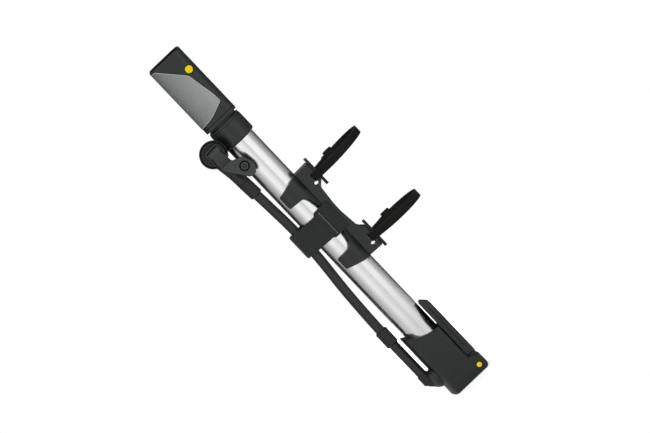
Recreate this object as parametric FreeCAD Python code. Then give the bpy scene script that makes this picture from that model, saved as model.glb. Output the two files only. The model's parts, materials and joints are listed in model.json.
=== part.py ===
import FreeCAD, Part
import math
import os

# Bicycle mini pump with fold-out foot, strapped hose and frame bracket.
# Millimetres. +Z runs up the barrel to the handle, +X points to the bicycle frame tube,
# and the origin is the centre of the barrel axis on the base's bottom face.

V = FreeCAD.Vector
UP = V(0, 0, 1)

# ---- fits and clearances ----
RUNNING = 0.05          # radial, shafts and sliding rods
BODY_GAP = 0.3          # between pieces of different bodies
SEAT_GAP = 0.05         # between seated pieces of one body
FAR = 90.0              # reach of the cutting tools that pass right through a piece

# ---- barrel ----
BARREL_R = 12.5
BARREL_WALL = 1.2
BARREL_BOTTOM = 25.0
BARREL_LENGTH = 245.5
BORE_R = BARREL_R - BARREL_WALL
BARREL_TOP = BARREL_BOTTOM + BARREL_LENGTH

# ---- base housing ----
BASE_LEFT = 16.6        # from the axis to the round left wall
BASE_CORNER_X = 12.3    # where the flat front meets the round left wall
BASE_RIGHT = 12.9       # flat wall beside the folded foot pad
BASE_HALF = 14.2        # half width along Y
RIM_LEFT = 62.1         # rim height at the left wall
RIM_RIGHT = 49.7        # rim height at the right wall
RIM_SAG = 2.9           # how far the rim's curve drops below its chord
BASE_EDGE_R = 6.0
CHAMBER_R = 8.0
CHAMBER_FLOOR = 15.0
RELIEF_HALF = 4.2       # half width of the open notch where the barrel meets the flat wall
RELIEF_FLOOR = 27.0
TREAD_GROOVE = 1.2      # sole grooves: depth
TREAD_PITCH = 5.0
TREAD_COUNT = 4

# ---- outlet port, check valve and elbow ----
PORT_Z = 20.0
SPIGOT_R = 3.9
SPIGOT_LENGTH = 3.0
VALVE_ROOM_R = 2.7
VALVE_ROOM_LENGTH = 3.6
SEAT_BORE_R = 1.3
POPPET_R = 2.3
POPPET_THICK = 1.4
POPPET_STEM_R = 0.9
POPPET_STEM_LENGTH = 1.3
POPPET_TRAVEL = 1.0
SPRING_WIRE_R = 0.2
SPRING_R = 1.6
SPRING_TURNS = 3
PORT_BOSS_R = 9.6
PORT_FACE = BASE_LEFT + 1.65  # the boss is cut flat here, where the elbow sits on it
PORT_BOSS_CENTRE = 13.7  # distance of the ball-shaped boss from the axis
ELBOW_SOCKET_R = 4.7
ELBOW_SOCKET_TOP = 29.7
ELBOW_SOCKET_FLOOR = 22.0
ELBOW_MITRE = 0.5       # height of the mitre's upper edge above the port, at the hose's side
AIR_BORE_R = 1.5

# ---- hose ----
HOSE_R = 3.9
HOSE_BORE_R = 2.0
HOSE_TOP = BARREL_TOP - 40.3
HOSE_RISE = [
    (-23.1, 0.0), (-23.1, 0.0956), (-23.3, 0.2199), (-22.6, 0.3585), (-21.2, 0.4876),
    (-19.0, 0.5975), (-17.9, 0.6979), (-18.0, 0.7935), (-19.0, 0.8843), (-19.9, 0.9608), (-20.4, 1.0),
]
HOSE_ROUTE = [(x, ELBOW_SOCKET_FLOOR + share * (HOSE_TOP - ELBOW_SOCKET_FLOOR)) for x, share in HOSE_RISE]
ROUND_SHARE = 0.45      # share of the shorter run that each bend takes
SLEEVE_R = 5.3
SLEEVE_BOTTOM = 62.3
SLEEVE_LENGTH = 15.5

# ---- pump head, in its own frame: origin at the hose end of the ferrule ----
HEAD_X = -19.9
HEAD_Z = BARREL_TOP - 48.5
HEAD_TILT = 3.5         # degrees, the head leans away from the barrel
FERRULE_R = 5.4
FERRULE_LENGTH = 14.0
FERRULE_FLUTES = 16
NECK_R = 5.3
VALVE_HEIGHT = 47.6     # valve axis above the hose end
DRUM_R = 7.1
DRUM_BACK = 5.5
DRUM_FRONT = -9.4
COVER_R = 10.4
COVER_THICK = 2.8
VALVE_R = 3.9
GASKET_R = 6.0
GASKET_LENGTH = 8.2
GASKET_SEAT = 1.0
NUT_R = 7.5
NUT_LENGTH = 6.2
NUT_LIP = 1.8
NUT_FLUTES = 18
PLUNGER_STEM_R = 2.0
PLUNGER_DISC = 3.0
LOCK_TRAVEL = 1.4       # gasket plunger travel over the lever's quarter turn

# ---- thumb lever ----
LEVER_SHIFT = 1.3       # fork and lever sit off the valve axis, away from the barrel
LEVER_HALF = 5.1
LEVER_THICK = 3.9
LEVER_PIN_R = 1.25
CAM_R = 3.4
CAM_OFFSET = 1.2
FORK_GAP = 0.25
FORK_WALL = 1.2
THUMB_X = 10.3
THUMB_Z = 24.6
STUD_R = 3.3
STUD_BORE_R = 1.6

# ---- top cap, rod bush and wiper ----
CAP_R = 15.0
CAP_BOTTOM = BARREL_TOP - 7.7
CAP_TOP = BARREL_TOP + 11.5
CAP_EDGE_R = 2.0
CAP_STEP = 2.3          # height of the reduced top rim
CAP_STEP_IN = 0.35
BUSH_LENGTH = 12.0
BUSH_FLANGE = 2.5
WIPER_HEIGHT = 2.6
WIPER_R = 7.5
BUMPER_R = 13.1
BUMPER_HEIGHT = 1.8

# ---- piston and rod ----
ROD_R = 4.5
ROD_WALL = 1.3
PISTON_LENGTH = 12.0
PISTON_REST = 26.5      # piston underside when the pump is closed
PISTON_RING_R = 1.1     # section radius of the O-ring
SCREW_HEAD_R = 3.6
SCREW_HEAD = 1.3
TOP_MARGIN = 6.0        # left between piston and bush at full stroke

# ---- handle ----
HANDLE_HEIGHT = 65.9
HANDLE_BOTTOM = CAP_TOP + BUMPER_HEIGHT + BODY_GAP
HANDLE_TOP = HANDLE_BOTTOM + HANDLE_HEIGHT
HANDLE_HALF_X = 15.6
HANDLE_HALF_Y = 13.6
HANDLE_CORNER_R = 7.5
HANDLE_EDGE_R = 1.8
COLLAR_HEIGHT = 3.1
COLLAR_SEAM = 0.35
PIVOT_SIDE = 6.3        # pivot inward from the handle's side
PIVOT_DROP = 18.2       # pivot below the handle's top
PIVOT_X = HANDLE_HALF_X - PIVOT_SIDE
PIVOT_Z = HANDLE_TOP - PIVOT_DROP
PIVOT_R = 2.5
EYE_R = 5.0
ROD_HEAD_LENGTH = 19.6  # from the rod's end to the pivot
ROD_HEAD_TOP = PIVOT_Z - ROD_HEAD_LENGTH
PALM_RISE = (5.5, 7.5, 12.9, 19.9)  # palm pad's lower edge above the handle's: left to right
PALM_DEPTH = 1.6
PALM_PROUD = 0.25
PIN_CAP_R = 3.15
PIN_RING_R = 3.8
PIN_CAP_THICK = 0.9

# ---- foot pad ----
FOOT_PIN_X = 15.1
FOOT_PIN_Z = 5.8
FOOT_PIN_R = 1.6
FOOT_CAP_R = 2.1
KNUCKLE_R = 5.3
KNUCKLE_HALF = 9.6
EAR_RIGHT = 21.4
EAR_TOP = 15.4
FOOT_INNER = 13.25       # inner face of the folded pad
FOOT_BOTTOM = 16.6
FOOT_TIP = 74.3
FOOT_HALF = 13.4
FOOT_CHAMFER = 3.1
FOOT_RIB = 1.4
FOOT_POCKET = 3.4
FOOT_RIBS = 4
RIDGE_SPAN = (8.4, 10.9)  # ridge on the base wall that the pad's pocket closes over: along Y
RIDGE_BOTTOM = 22.0
RIDGE_RISE = 1.4

# ---- frame bracket ----
ARM_R = 15.2
ARM_TIP = -9.0
ARM_Z = (137.6, 203.1)
ARM_TIP_HALF = (5.3, 6.1)
ARM_CURVE = 16.0        # height of the curve that takes each arm into the spine
SPINE_INNER = 10.8
SPINE_OUTER = 19.4
BLOCK_OUTER = 25.4
BRACKET_HALF = 8.5
BLOCK_TOP = 214.0
BLOCK_BOTTOM = 126.8
SADDLE_SPACING = 67.0
SADDLE_HEIGHT = 25.6
SADDLE_HALF = 9.5
SADDLE_THICK = 2.5
TIE_SLOT_X = 18.9
TIE_SLOT_WIDTH = 3.3
TIE_SLOT_DROP = 3.5     # open part of the slot below the tie

# ---- frame tube (absent) and its ties ----
TUBE_R = 22.2
TUBE_SINK = 0.3         # how deep the tube beds into the saddle pads
TIE_WIDTH = 6.4
TIE_THICK = 1.3
TIE_SKEW = (0.0, 4.0)   # degrees, the upper tie lies askew on the tube
TIE_Z = (136.7, 201.7)
TIE_LOCK = (8.4, 9.2, 5.0)

# ---- hook-and-loop strap ----
STRAP_BOTTOM = 156.1
STRAP_HEIGHT = 26.2
STRAP_THICK = 1.35
STRAP_SLOT_X = 15.4
STRAP_OVERLAP_X = 5.3   # where the outer layer ends on the front
FLAP_LOW = 1.8          # the outer layer ends this far above the inner one's lower edge
FLAP_HIGH = 2.4         # and this far below its upper edge
FLARE_X = (-0.5, 3.2)   # where the inner layer widens toward the spine


# ---- shape helpers ----
def rounded_wire(corners, place):
    """Closed wire through corners (a, b, r), each rounded by a tangent arc of radius r."""
    count = len(corners)
    starts, mids, ends = [], [], []
    for i, (a, b, r) in enumerate(corners):
        here = V(a, b, 0)
        before = V(*corners[i - 1][:2], 0) - here
        after = V(*corners[(i + 1) % count][:2], 0) - here
        before.normalize()
        after.normalize()
        half = before.getAngle(after) / 2
        if r <= 0 or half > math.pi / 2 - 1e-4:
            starts.append(here)
            mids.append(None)
            ends.append(here)
            continue
        inward = before + after
        inward.normalize()
        back = r / math.tan(half)
        starts.append(here + before * back)
        mids.append(here + inward * (r / math.sin(half) - r))
        ends.append(here + after * back)
    edges = []
    for i in range(count):
        if mids[i] is not None:
            edges.append(Part.Arc(place(starts[i]), place(mids[i]), place(ends[i])).toShape())
        if ends[i].distanceToPoint(starts[(i + 1) % count]) > 1e-6:
            edges.append(Part.LineSegment(place(ends[i]), place(starts[(i + 1) % count])).toShape())
    return Part.Wire(edges)


def plate_xz(corners, y0, y1):
    """Outline in X and Z, extruded from y0 to y1."""
    wire = rounded_wire(corners, lambda p: V(p.x, y0, p.y))
    return Part.Face(wire).extrude(V(0, y1 - y0, 0))


def plate_yz(corners, x0, x1):
    """Outline in Y and Z, extruded from x0 to x1."""
    wire = rounded_wire(corners, lambda p: V(x0, p.x, p.y))
    return Part.Face(wire).extrude(V(x1 - x0, 0, 0))


def plate_xy(corners, z0, z1):
    """Outline in X and Y, extruded from z0 to z1."""
    wire = rounded_wire(corners, lambda p: V(p.x, p.y, z0))
    return Part.Face(wire).extrude(V(0, 0, z1 - z0))


def rod(radius, start, end):
    """Cylinder of the given radius between two points."""
    axis = V(*end) - V(*start)
    return Part.makeCylinder(radius, axis.Length, V(*start), axis)


def block(x0, x1, y0, y1, z0, z1):
    return Part.makeBox(x1 - x0, y1 - y0, z1 - z0, V(x0, y0, z0))


def turned(profile):
    """Solid of revolution about Z from (radius, z, corner radius) points."""
    wire = rounded_wire(profile, lambda p: V(p.x, 0, p.y))
    return Part.Face(wire).revolve(V(0, 0, 0), UP, 360)


def along_y(shape, x, z):
    """Stand a piece turned about Z on its side: its +Z becomes +Y, at (x, z)."""
    shape = shape.copy()
    shape.rotate(V(0, 0, 0), V(1, 0, 0), -90)
    shape.translate(V(x, 0, z))
    return shape


def ring_of(tool, count, centre=V(0, 0, 0), axis=UP):
    """Compound of count copies of tool, evenly spaced about an axis."""
    copies = []
    for i in range(count):
        item = tool.copy()
        item.rotate(centre, axis, 360.0 * i / count)
        copies.append(item)
    return Part.makeCompound(copies)


def belt_wire(circles):
    """Outline in X and Y of a taut belt round circles (x, y, r) listed counter-clockwise."""
    edges = []
    tangents = []
    count = len(circles)
    for i in range(count):
        x0, y0, r0 = circles[i]
        x1, y1, r1 = circles[(i + 1) % count]
        gap = math.hypot(x1 - x0, y1 - y0)
        lean = math.atan2(y1 - y0, x1 - x0) - math.pi / 2 + math.asin((r0 - r1) / gap)
        out = V(math.cos(lean), math.sin(lean), 0)
        tangents.append((V(x0, y0, 0) + out * r0, V(x1, y1, 0) + out * r1, lean))
    for i in range(count):
        x0, y0, r0 = circles[i]
        arrive = tangents[i - 1][2]
        leave = arrive + (tangents[i][2] - arrive) % (2 * math.pi)
        middle = (arrive + leave) / 2
        mid = V(x0 + r0 * math.cos(middle), y0 + r0 * math.sin(middle), 0)
        if r0 > 0:
            edges.append(Part.Arc(tangents[i - 1][1], mid, tangents[i][0]).toShape())
        edges.append(Part.LineSegment(tangents[i][0], tangents[i][1]).toShape())
    return Part.Wire(edges)


def belt(circles, grow, z0, z1):
    """Solid inside a taut belt that lies grow outside the circles."""
    wire = belt_wire([(x, y, r + grow) for x, y, r in circles])
    wire.translate(V(0, 0, z0))
    return Part.Face(wire).extrude(V(0, 0, z1 - z0))


# ---- barrel and base ----
def barrel_tube():
    lip = 0.4
    return turned([(BORE_R, BARREL_BOTTOM, 0), (BARREL_R - lip, BARREL_BOTTOM, 0),
                   (BARREL_R, BARREL_BOTTOM + lip, 0), (BARREL_R, BARREL_TOP - lip, 0),
                   (BARREL_R - lip, BARREL_TOP, 0), (BORE_R, BARREL_TOP, 0)])


def rim_cut():
    """Everything above the base's swept rim, which falls along a curve toward the foot pad."""
    far = 40.0
    left = V(-BASE_LEFT, -far, RIM_LEFT)
    right = V(BASE_RIGHT, -far, RIM_RIGHT)
    middle = (left + right) * 0.5 - V(0, 0, RIM_SAG)
    edges = [Part.Arc(left, middle, right).toShape(),
             Part.LineSegment(right, right + V(far, 0, 0)).toShape(),
             Part.LineSegment(right + V(far, 0, 0), right + V(far, 0, far)).toShape(),
             Part.LineSegment(right + V(far, 0, far), V(-far, -far, RIM_RIGHT + far)).toShape(),
             Part.LineSegment(V(-far, -far, RIM_RIGHT + far), V(-far, -far, RIM_LEFT)).toShape(),
             Part.LineSegment(V(-far, -far, RIM_LEFT), left).toShape()]
    return Part.Face(Part.Wire(edges)).extrude(V(0, 2 * far, 0))


def base_section():
    """Base outline in X and Y: flat front and back, round left wall, flat right wall."""
    edge = BASE_HALF - 0.6
    front_left = V(-BASE_CORNER_X, -edge, 0)
    back_left = V(-BASE_CORNER_X, edge, 0)
    corner = 2.5
    straight = [(BASE_RIGHT, -BASE_HALF, corner), (BASE_RIGHT, BASE_HALF, corner),
                (-BASE_CORNER_X, BASE_HALF, 0.9), (-BASE_CORNER_X, -BASE_HALF, 0.9)]
    body = plate_xy(straight, 0, RIM_LEFT + 5)
    arc = Part.Arc(front_left, V(-BASE_LEFT, 0, 0), back_left).toShape()
    close = Part.LineSegment(back_left, front_left).toShape()
    bulge = Part.Face(Part.Wire([arc, close])).extrude(V(0, 0, RIM_LEFT + 5))
    return body.fuse(bulge)


def base_ears():
    """The two hinge ears that hold the foot pin, one each side of the pad's knuckle."""
    outline = [(BASE_RIGHT - 4, 0, 0), (EAR_RIGHT, 0, 3.6), (EAR_RIGHT, 11.0, 4.0),
               (BASE_RIGHT + 1.5, EAR_TOP, 1.0), (BASE_RIGHT - 4, EAR_TOP, 0)]
    inner = KNUCKLE_HALF + BODY_GAP
    front = plate_xz(outline, -BASE_HALF, -inner)
    back = plate_xz(outline, inner, BASE_HALF)
    return front.fuse(back)


def port_boss():
    """Ball-shaped boss on the left wall that the elbow plugs into."""
    ball = Part.makeSphere(PORT_BOSS_R, V(-PORT_BOSS_CENTRE, 0, PORT_Z))
    return ball.cut(block(-FAR, -PORT_FACE, -FAR, FAR, 0, FAR))


def base_housing():
    side = [(-BASE_LEFT - 1, 0, BASE_EDGE_R), (BASE_RIGHT + 1, 0, 0),
            (BASE_RIGHT + 1, RIM_LEFT + 5, 0), (-BASE_LEFT - 1, RIM_LEFT + 5, 0)]
    body = base_section().common(plate_xz(side, -FAR, FAR))
    ridge = block(BASE_RIGHT - 2, BASE_RIGHT + RIDGE_RISE, RIDGE_SPAN[0], RIDGE_SPAN[1],
                  RIDGE_BOTTOM, RIM_RIGHT + 1)
    body = body.fuse([base_ears(), port_boss(), ridge])
    body = body.cut(rim_cut())
    inner = KNUCKLE_HALF + BODY_GAP
    pin = (FOOT_PIN_X, 0, FOOT_PIN_Z)
    knuckle = rod(KNUCKLE_R + BODY_GAP, (pin[0], -inner, pin[2]), (pin[0], inner, pin[2]))
    tools = [
        rod(BARREL_R + SEAT_GAP, (0, 0, BARREL_BOTTOM), (0, 0, RIM_LEFT + 6)),
        rod(CHAMBER_R, (0, 0, CHAMBER_FLOOR), (0, 0, BARREL_BOTTOM + 1)),
        block(0, BASE_RIGHT + 1, -RELIEF_HALF, RELIEF_HALF, RELIEF_FLOOR, RIM_LEFT),
        knuckle,
        block(FOOT_PIN_X, EAR_RIGHT + 1, -inner, inner, -1, RELIEF_FLOOR),
        rod(FOOT_PIN_R + SEAT_GAP, (pin[0], -FAR, pin[2]), (pin[0], FAR, pin[2])),
        rod(SPIGOT_R + SEAT_GAP, (-FAR, 0, PORT_Z), (-valve_room_end(), 0, PORT_Z)),
        rod(VALVE_ROOM_R, (-FAR, 0, PORT_Z), (-valve_seat_x(), 0, PORT_Z)),
        rod(SEAT_BORE_R, (-FAR, 0, PORT_Z), (0, 0, PORT_Z)),
        barrel_seal(0.1),
    ]
    sole = BASE_HALF - 2.0
    for i in range(TREAD_COUNT):
        x = -BASE_LEFT + 7.0 + i * TREAD_PITCH
        tools.append(block(x, x + TREAD_GROOVE, -sole, sole, -1, TREAD_GROOVE))
    return body.cut(tools)


def barrel_seal(grow=0.0):
    """O-ring under the barrel's lower end, in a groove of the base's shoulder."""
    section = 0.8
    middle = (BORE_R + BARREL_R) / 2
    return Part.makeTorus(middle, section + grow, V(0, 0, BARREL_BOTTOM - section - SEAT_GAP), UP)


def valve_seat_x():
    return CHAMBER_R + 1.6


def valve_room_end():
    return valve_seat_x() + VALVE_ROOM_LENGTH


def check_poppet():
    """Disc with a tapered nose toward the seat and a guide stem toward the elbow."""
    face = -valve_seat_x() - SEAT_GAP
    disc = turned([(0, 0, 0), (POPPET_STEM_R, 0, 0), (POPPET_STEM_R, POPPET_STEM_LENGTH, 0),
                   (POPPET_R, POPPET_STEM_LENGTH, 0.2),
                   (POPPET_R, POPPET_STEM_LENGTH + POPPET_THICK - 0.4, 0),
                   (POPPET_R - 0.5, POPPET_STEM_LENGTH + POPPET_THICK, 0),
                   (0, POPPET_STEM_LENGTH + POPPET_THICK, 0)])
    disc.rotate(V(0, 0, 0), V(0, 1, 0), 90)
    disc.translate(V(face - POPPET_STEM_LENGTH - POPPET_THICK, 0, PORT_Z))
    return disc


def check_spring():
    """Small coil spring between the poppet and the elbow's spigot, of half turns that lean in turn."""
    left = -valve_room_end() + SPRING_WIRE_R + SEAT_GAP
    right = -valve_seat_x() - 2 * SEAT_GAP - POPPET_THICK - SPRING_WIRE_R
    rise = (right - left) / (2 * SPRING_TURNS)
    lean = math.degrees(math.atan2(rise / 2, SPRING_R))
    radius = math.hypot(SPRING_R, rise / 2)
    halves = []
    for i in range(2 * SPRING_TURNS):
        half = Part.makeTorus(radius, SPRING_WIRE_R, V(0, 0, 0), UP, 0, 360, 180)
        half.rotate(V(0, 0, 0), UP, 180 * (i % 2))
        half.rotate(V(0, 0, 0), V(0, 1, 0), lean if i % 2 == 0 else -lean)
        half.translate(V(0, 0, (i + 0.5) * rise))
        halves.append(half)
    coil = halves[0].fuse(halves[1:])
    coil.rotate(V(0, 0, 0), V(0, 1, 0), 90)
    coil.translate(V(left, 0, PORT_Z))
    return coil


def hose_elbow():
    """Elbow with a mitred heel: spigot in the base, a cone on the wall, and the hose's socket."""
    x = HOSE_ROUTE[0][0]
    wall = -PORT_FACE - SEAT_GAP
    cone = turned([(0, 0, 0), (8.2, 0, 0.8), (ELBOW_SOCKET_R, wall - x, 0),
                   (ELBOW_SOCKET_R - 0.2, wall - x + 2.6, 2.0), (0, wall - x + 2.6, 0)])
    cone.rotate(V(0, 0, 0), V(0, 1, 0), -90)
    cone.translate(V(wall, 0, PORT_Z))
    spigot = rod(SPIGOT_R, (wall, 0, PORT_Z), (-valve_room_end(), 0, PORT_Z))
    socket = turned([(0, PORT_Z, 0), (ELBOW_SOCKET_R, PORT_Z, 0),
                     (ELBOW_SOCKET_R, ELBOW_SOCKET_TOP, 0.8), (0, ELBOW_SOCKET_TOP, 0)])
    socket.translate(V(x, 0, 0))
    body = cone.fuse([spigot, socket])
    heel = (x - HOSE_R, PORT_Z + ELBOW_MITRE)
    mitre = plate_xz([(heel[0] - FAR, heel[1] + FAR, 0), (heel[0] + FAR, heel[1] - FAR, 0),
                      (heel[0] - FAR, heel[1] - FAR, 0)], -FAR, FAR)
    tools = [
        mitre,
        rod(AIR_BORE_R, (x, 0, PORT_Z), (0, 0, PORT_Z)),
        rod(AIR_BORE_R, (x, 0, PORT_Z), (x, 0, ELBOW_SOCKET_TOP)),
        rod(HOSE_R + SEAT_GAP, (x, 0, ELBOW_SOCKET_FLOOR - SEAT_GAP), (x, 0, ELBOW_SOCKET_TOP + 1)),
        elbow_seal(0.1),
    ]
    return body.cut(tools)


def elbow_seal(grow=0.0):
    """O-ring in the spigot's groove."""
    section = 0.55
    x = -valve_room_end() - SPIGOT_LENGTH / 2
    return Part.makeTorus(SPIGOT_R - section, section + grow, V(x, 0, PORT_Z), V(1, 0, 0))


# ---- hose ----
def hose_path():
    """Straight runs joined by tangent arcs through the route's points, with the arcs' radii."""
    points = [V(x, 0, z) for x, z in HOSE_ROUTE]
    edges, radii = [], []
    last = points[0]
    for before, here, after in zip(points, points[1:], points[2:]):
        back = before - here
        ahead = after - here
        reach = ROUND_SHARE * min(back.Length, ahead.Length)
        back.normalize()
        ahead.normalize()
        half = back.getAngle(ahead) / 2
        radius = reach * math.tan(half)
        inward = back + ahead
        inward.normalize()
        start = here + back * reach
        edges.append(Part.LineSegment(last, start).toShape())
        middle = here + inward * (radius / math.sin(half) - radius)
        last = here + ahead * reach
        edges.append(Part.Arc(start, middle, last).toShape())
        radii.append(radius)
    edges.append(Part.LineSegment(last, points[-1]).toShape())
    return Part.Wire(edges), radii


def swept(path, radius):
    start = path.Edges[0].Vertexes[0].Point
    axis = path.Edges[0].tangentAt(path.Edges[0].FirstParameter)
    circle = Part.Wire(Part.Circle(start, axis, radius).toShape())
    return path.makePipeShell([circle], True, False)


def hose():
    path, radii = hose_path()
    solid = swept(path, HOSE_R)
    expected = math.pi * HOSE_R ** 2 * path.Length
    print("hose length %.1f, radii %s" % (path.Length, [round(r) for r in radii]))
    print("hose volume %.1f of %.1f" % (solid.Volume, expected))
    return solid.cut(swept(path, HOSE_BORE_R))


def route_at(z):
    """The hose's X at height z, along the straight runs."""
    for (x0, z0), (x1, z1) in zip(HOSE_ROUTE, HOSE_ROUTE[1:]):
        if z0 <= z <= z1:
            return x0 + (x1 - x0) * (z - z0) / (z1 - z0)
    return HOSE_ROUTE[-1][0]


def hose_sleeve():
    """Moulded sleeve gripping the hose above the base."""
    low = V(route_at(SLEEVE_BOTTOM), 0, SLEEVE_BOTTOM)
    high = V(route_at(SLEEVE_BOTTOM + SLEEVE_LENGTH), 0, SLEEVE_BOTTOM + SLEEVE_LENGTH)
    bevel = 1.5
    inner = HOSE_R + 2 * SEAT_GAP
    sleeve = turned([(inner, 0, 0), (SLEEVE_R - 0.8, 0, 0), (SLEEVE_R, 0.8, 0),
                     (SLEEVE_R, SLEEVE_LENGTH - bevel, 0), (SLEEVE_R - bevel, SLEEVE_LENGTH, 0),
                     (inner, SLEEVE_LENGTH, 0)])
    lean = math.degrees(math.atan2(high.x - low.x, high.z - low.z))
    sleeve.rotate(V(0, 0, 0), V(0, 1, 0), lean)
    sleeve.translate(low)
    return sleeve


# ---- pump head ----
def head_placed(shape):
    """Carry a piece from the head's own frame to its place beside the barrel."""
    shape = shape.copy()
    shape.rotate(V(0, 0, 0), V(0, 1, 0), -HEAD_TILT)
    shape.translate(V(HEAD_X, 0, HEAD_Z))
    return shape


def hose_ferrule():
    """Fluted ferrule that clamps the hose's end to the head."""
    bevel = 0.9
    inner = HOSE_R + 2 * SEAT_GAP
    tube = turned([(inner, 0, 0), (FERRULE_R - bevel, 0, 0), (FERRULE_R, bevel, 0),
                   (FERRULE_R, FERRULE_LENGTH - SEAT_GAP, 0), (inner, FERRULE_LENGTH - SEAT_GAP, 0)])
    flute = rod(0.45, (FERRULE_R + 0.15, 0, 2.2), (FERRULE_R + 0.15, 0, FERRULE_LENGTH - 2.0))
    return head_placed(tube.cut(ring_of(flute, FERRULE_FLUTES)))


def head_body():
    """Neck round the hose tail, swelling into the drum that holds the valve gasket."""
    neck = turned([(0, FERRULE_LENGTH, 0), (NECK_R, FERRULE_LENGTH, 0.5),
                   (NECK_R, VALVE_HEIGHT, 0), (0, VALVE_HEIGHT, 0)])
    tail = rod(HOSE_BORE_R - SEAT_GAP, (0, 0, 8.6), (0, 0, FERRULE_LENGTH + 1))
    drum = along_y(turned([(0, DRUM_FRONT, 0), (DRUM_R, DRUM_FRONT, 0),
                           (DRUM_R, DRUM_BACK, 0.6), (0, DRUM_BACK, 0)]), 0, VALVE_HEIGHT)
    shoulder = plate_xz([(-NECK_R, 26.0, 0), (NECK_R, 26.0, 0),
                         (DRUM_R, VALVE_HEIGHT, 0), (-DRUM_R, VALVE_HEIGHT, 0)],
                        DRUM_FRONT + 2.0, DRUM_BACK - 1.5)
    front_ramp = plate_yz([(-NECK_R + 1.5, 24.0, 3.0), (DRUM_FRONT, 38.0, 3.0),
                           (DRUM_FRONT, VALVE_HEIGHT, 0), (0, VALVE_HEIGHT, 0), (0, 24.0, 0)],
                          -NECK_R + 0.8, NECK_R - 0.8)
    body = neck.fuse([tail, drum, shoulder, front_ramp])
    tools = [
        along_y(Part.makeCylinder(GASKET_R + SEAT_GAP, 20, V(0, 0, GASKET_SEAT - PLUNGER_DISC - 0.2)),
                0, VALVE_HEIGHT),
        along_y(Part.makeCylinder(PLUNGER_STEM_R + RUNNING, 20, V(0, 0, -15)), 0, VALVE_HEIGHT),
        rod(0.9, (0, 0, 0), (0, 0, VALVE_HEIGHT - GASKET_R)),
    ]
    return head_placed(body.cut(tools))


def head_cover():
    """Round cover on the drum's front with the lever's fork standing on it."""
    front = DRUM_FRONT - COVER_THICK
    step = 1.1
    disc = along_y(turned([(0, DRUM_FRONT - SEAT_GAP, 0), (COVER_R - 0.8, DRUM_FRONT - SEAT_GAP, 0),
                           (COVER_R, DRUM_FRONT - 0.9, 0), (COVER_R, front + step, 0.5),
                           (DRUM_R + 0.4, front + step, 0), (DRUM_R, front, 0), (0, front, 0)]),
                   0, VALVE_HEIGHT)
    pin_y = lever_pin_y()
    inner = LEVER_HALF + FORK_GAP
    outer = inner + FORK_WALL
    cheek_r = CAM_R + 0.4
    top = VALVE_HEIGHT + cheek_r
    outline = [(pin_y - cheek_r, top, cheek_r * 0.95), (front + 0.5, top + 0.6, 0),
               (front + 0.5, VALVE_HEIGHT - 9.0, 0), (front - 0.6, VALVE_HEIGHT - 9.0, 0.4),
               (pin_y - cheek_r, VALVE_HEIGHT - 4.0, cheek_r * 0.95)]
    cheeks = [plate_yz(outline, LEVER_SHIFT - outer, LEVER_SHIFT - inner),
              plate_yz(outline, LEVER_SHIFT + inner, LEVER_SHIFT + outer)]
    body = disc.fuse(cheeks)
    tools = [
        along_y(Part.makeCylinder(PLUNGER_STEM_R + RUNNING, 20, V(0, 0, -20)), 0, VALVE_HEIGHT),
        rod(LEVER_PIN_R + SEAT_GAP, (-20, pin_y, VALVE_HEIGHT), (20, pin_y, VALVE_HEIGHT)),
    ]
    return head_placed(body.cut(tools))


def lever_pin_y():
    """Y of the lever's pin: the cam's high side just clears the cover's front."""
    return DRUM_FRONT - COVER_THICK - CAM_R - CAM_OFFSET - BODY_GAP


def lever_pin():
    reach = LEVER_HALF + FORK_GAP + FORK_WALL
    y = lever_pin_y()
    return head_placed(rod(LEVER_PIN_R, (LEVER_SHIFT - reach, y, VALVE_HEIGHT),
                           (LEVER_SHIFT + reach, y, VALVE_HEIGHT)))


def valve_gasket():
    """Rubber grommet that grips the tyre valve."""
    end = GASKET_SEAT + GASKET_LENGTH
    return head_placed(along_y(turned([
        (VALVE_R, GASKET_SEAT, 0.3), (GASKET_R, GASKET_SEAT, 0.3), (GASKET_R, end, 0.3),
        (VALVE_R, end, 0.3)]), 0, VALVE_HEIGHT))


def valve_nut():
    """Fluted nut that closes the drum round the valve opening."""
    back = DRUM_BACK + SEAT_GAP
    end = back + NUT_LENGTH
    mouth = VALVE_R + 0.05
    inner = GASKET_R + SEAT_GAP
    nut = turned([(mouth, end - NUT_LIP, 0), (inner, end - NUT_LIP, 0), (inner, back, 0),
                  (NUT_R, back, 0.5), (NUT_R, end, 0.8), (mouth, end, 0.5)])
    flute = rod(0.6, (NUT_R + 0.25, 0, back - 1), (NUT_R + 0.25, 0, end - 1.3))
    return head_placed(along_y(nut.cut(ring_of(flute, NUT_FLUTES)), 0, VALVE_HEIGHT))


def gasket_plunger():
    """Disc that squeezes the gasket, with a stem through the cover to the lever's cam."""
    face = GASKET_SEAT - SEAT_GAP
    tip = lever_pin_y() + CAM_R + 0.25
    back = face - PLUNGER_DISC + 0.2 + LOCK_TRAVEL
    ring = VALVE_R - 1.2
    return head_placed(along_y(turned([
        (0, tip, 0), (PLUNGER_STEM_R, tip, 0.5), (PLUNGER_STEM_R, back, 0),
        (GASKET_R - 0.1, back, 0.2), (GASKET_R - 0.1, face - BODY_GAP, 0.2),
        (ring, face - BODY_GAP, 0), (0, face - BODY_GAP, 0)]), 0, VALVE_HEIGHT))


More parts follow.
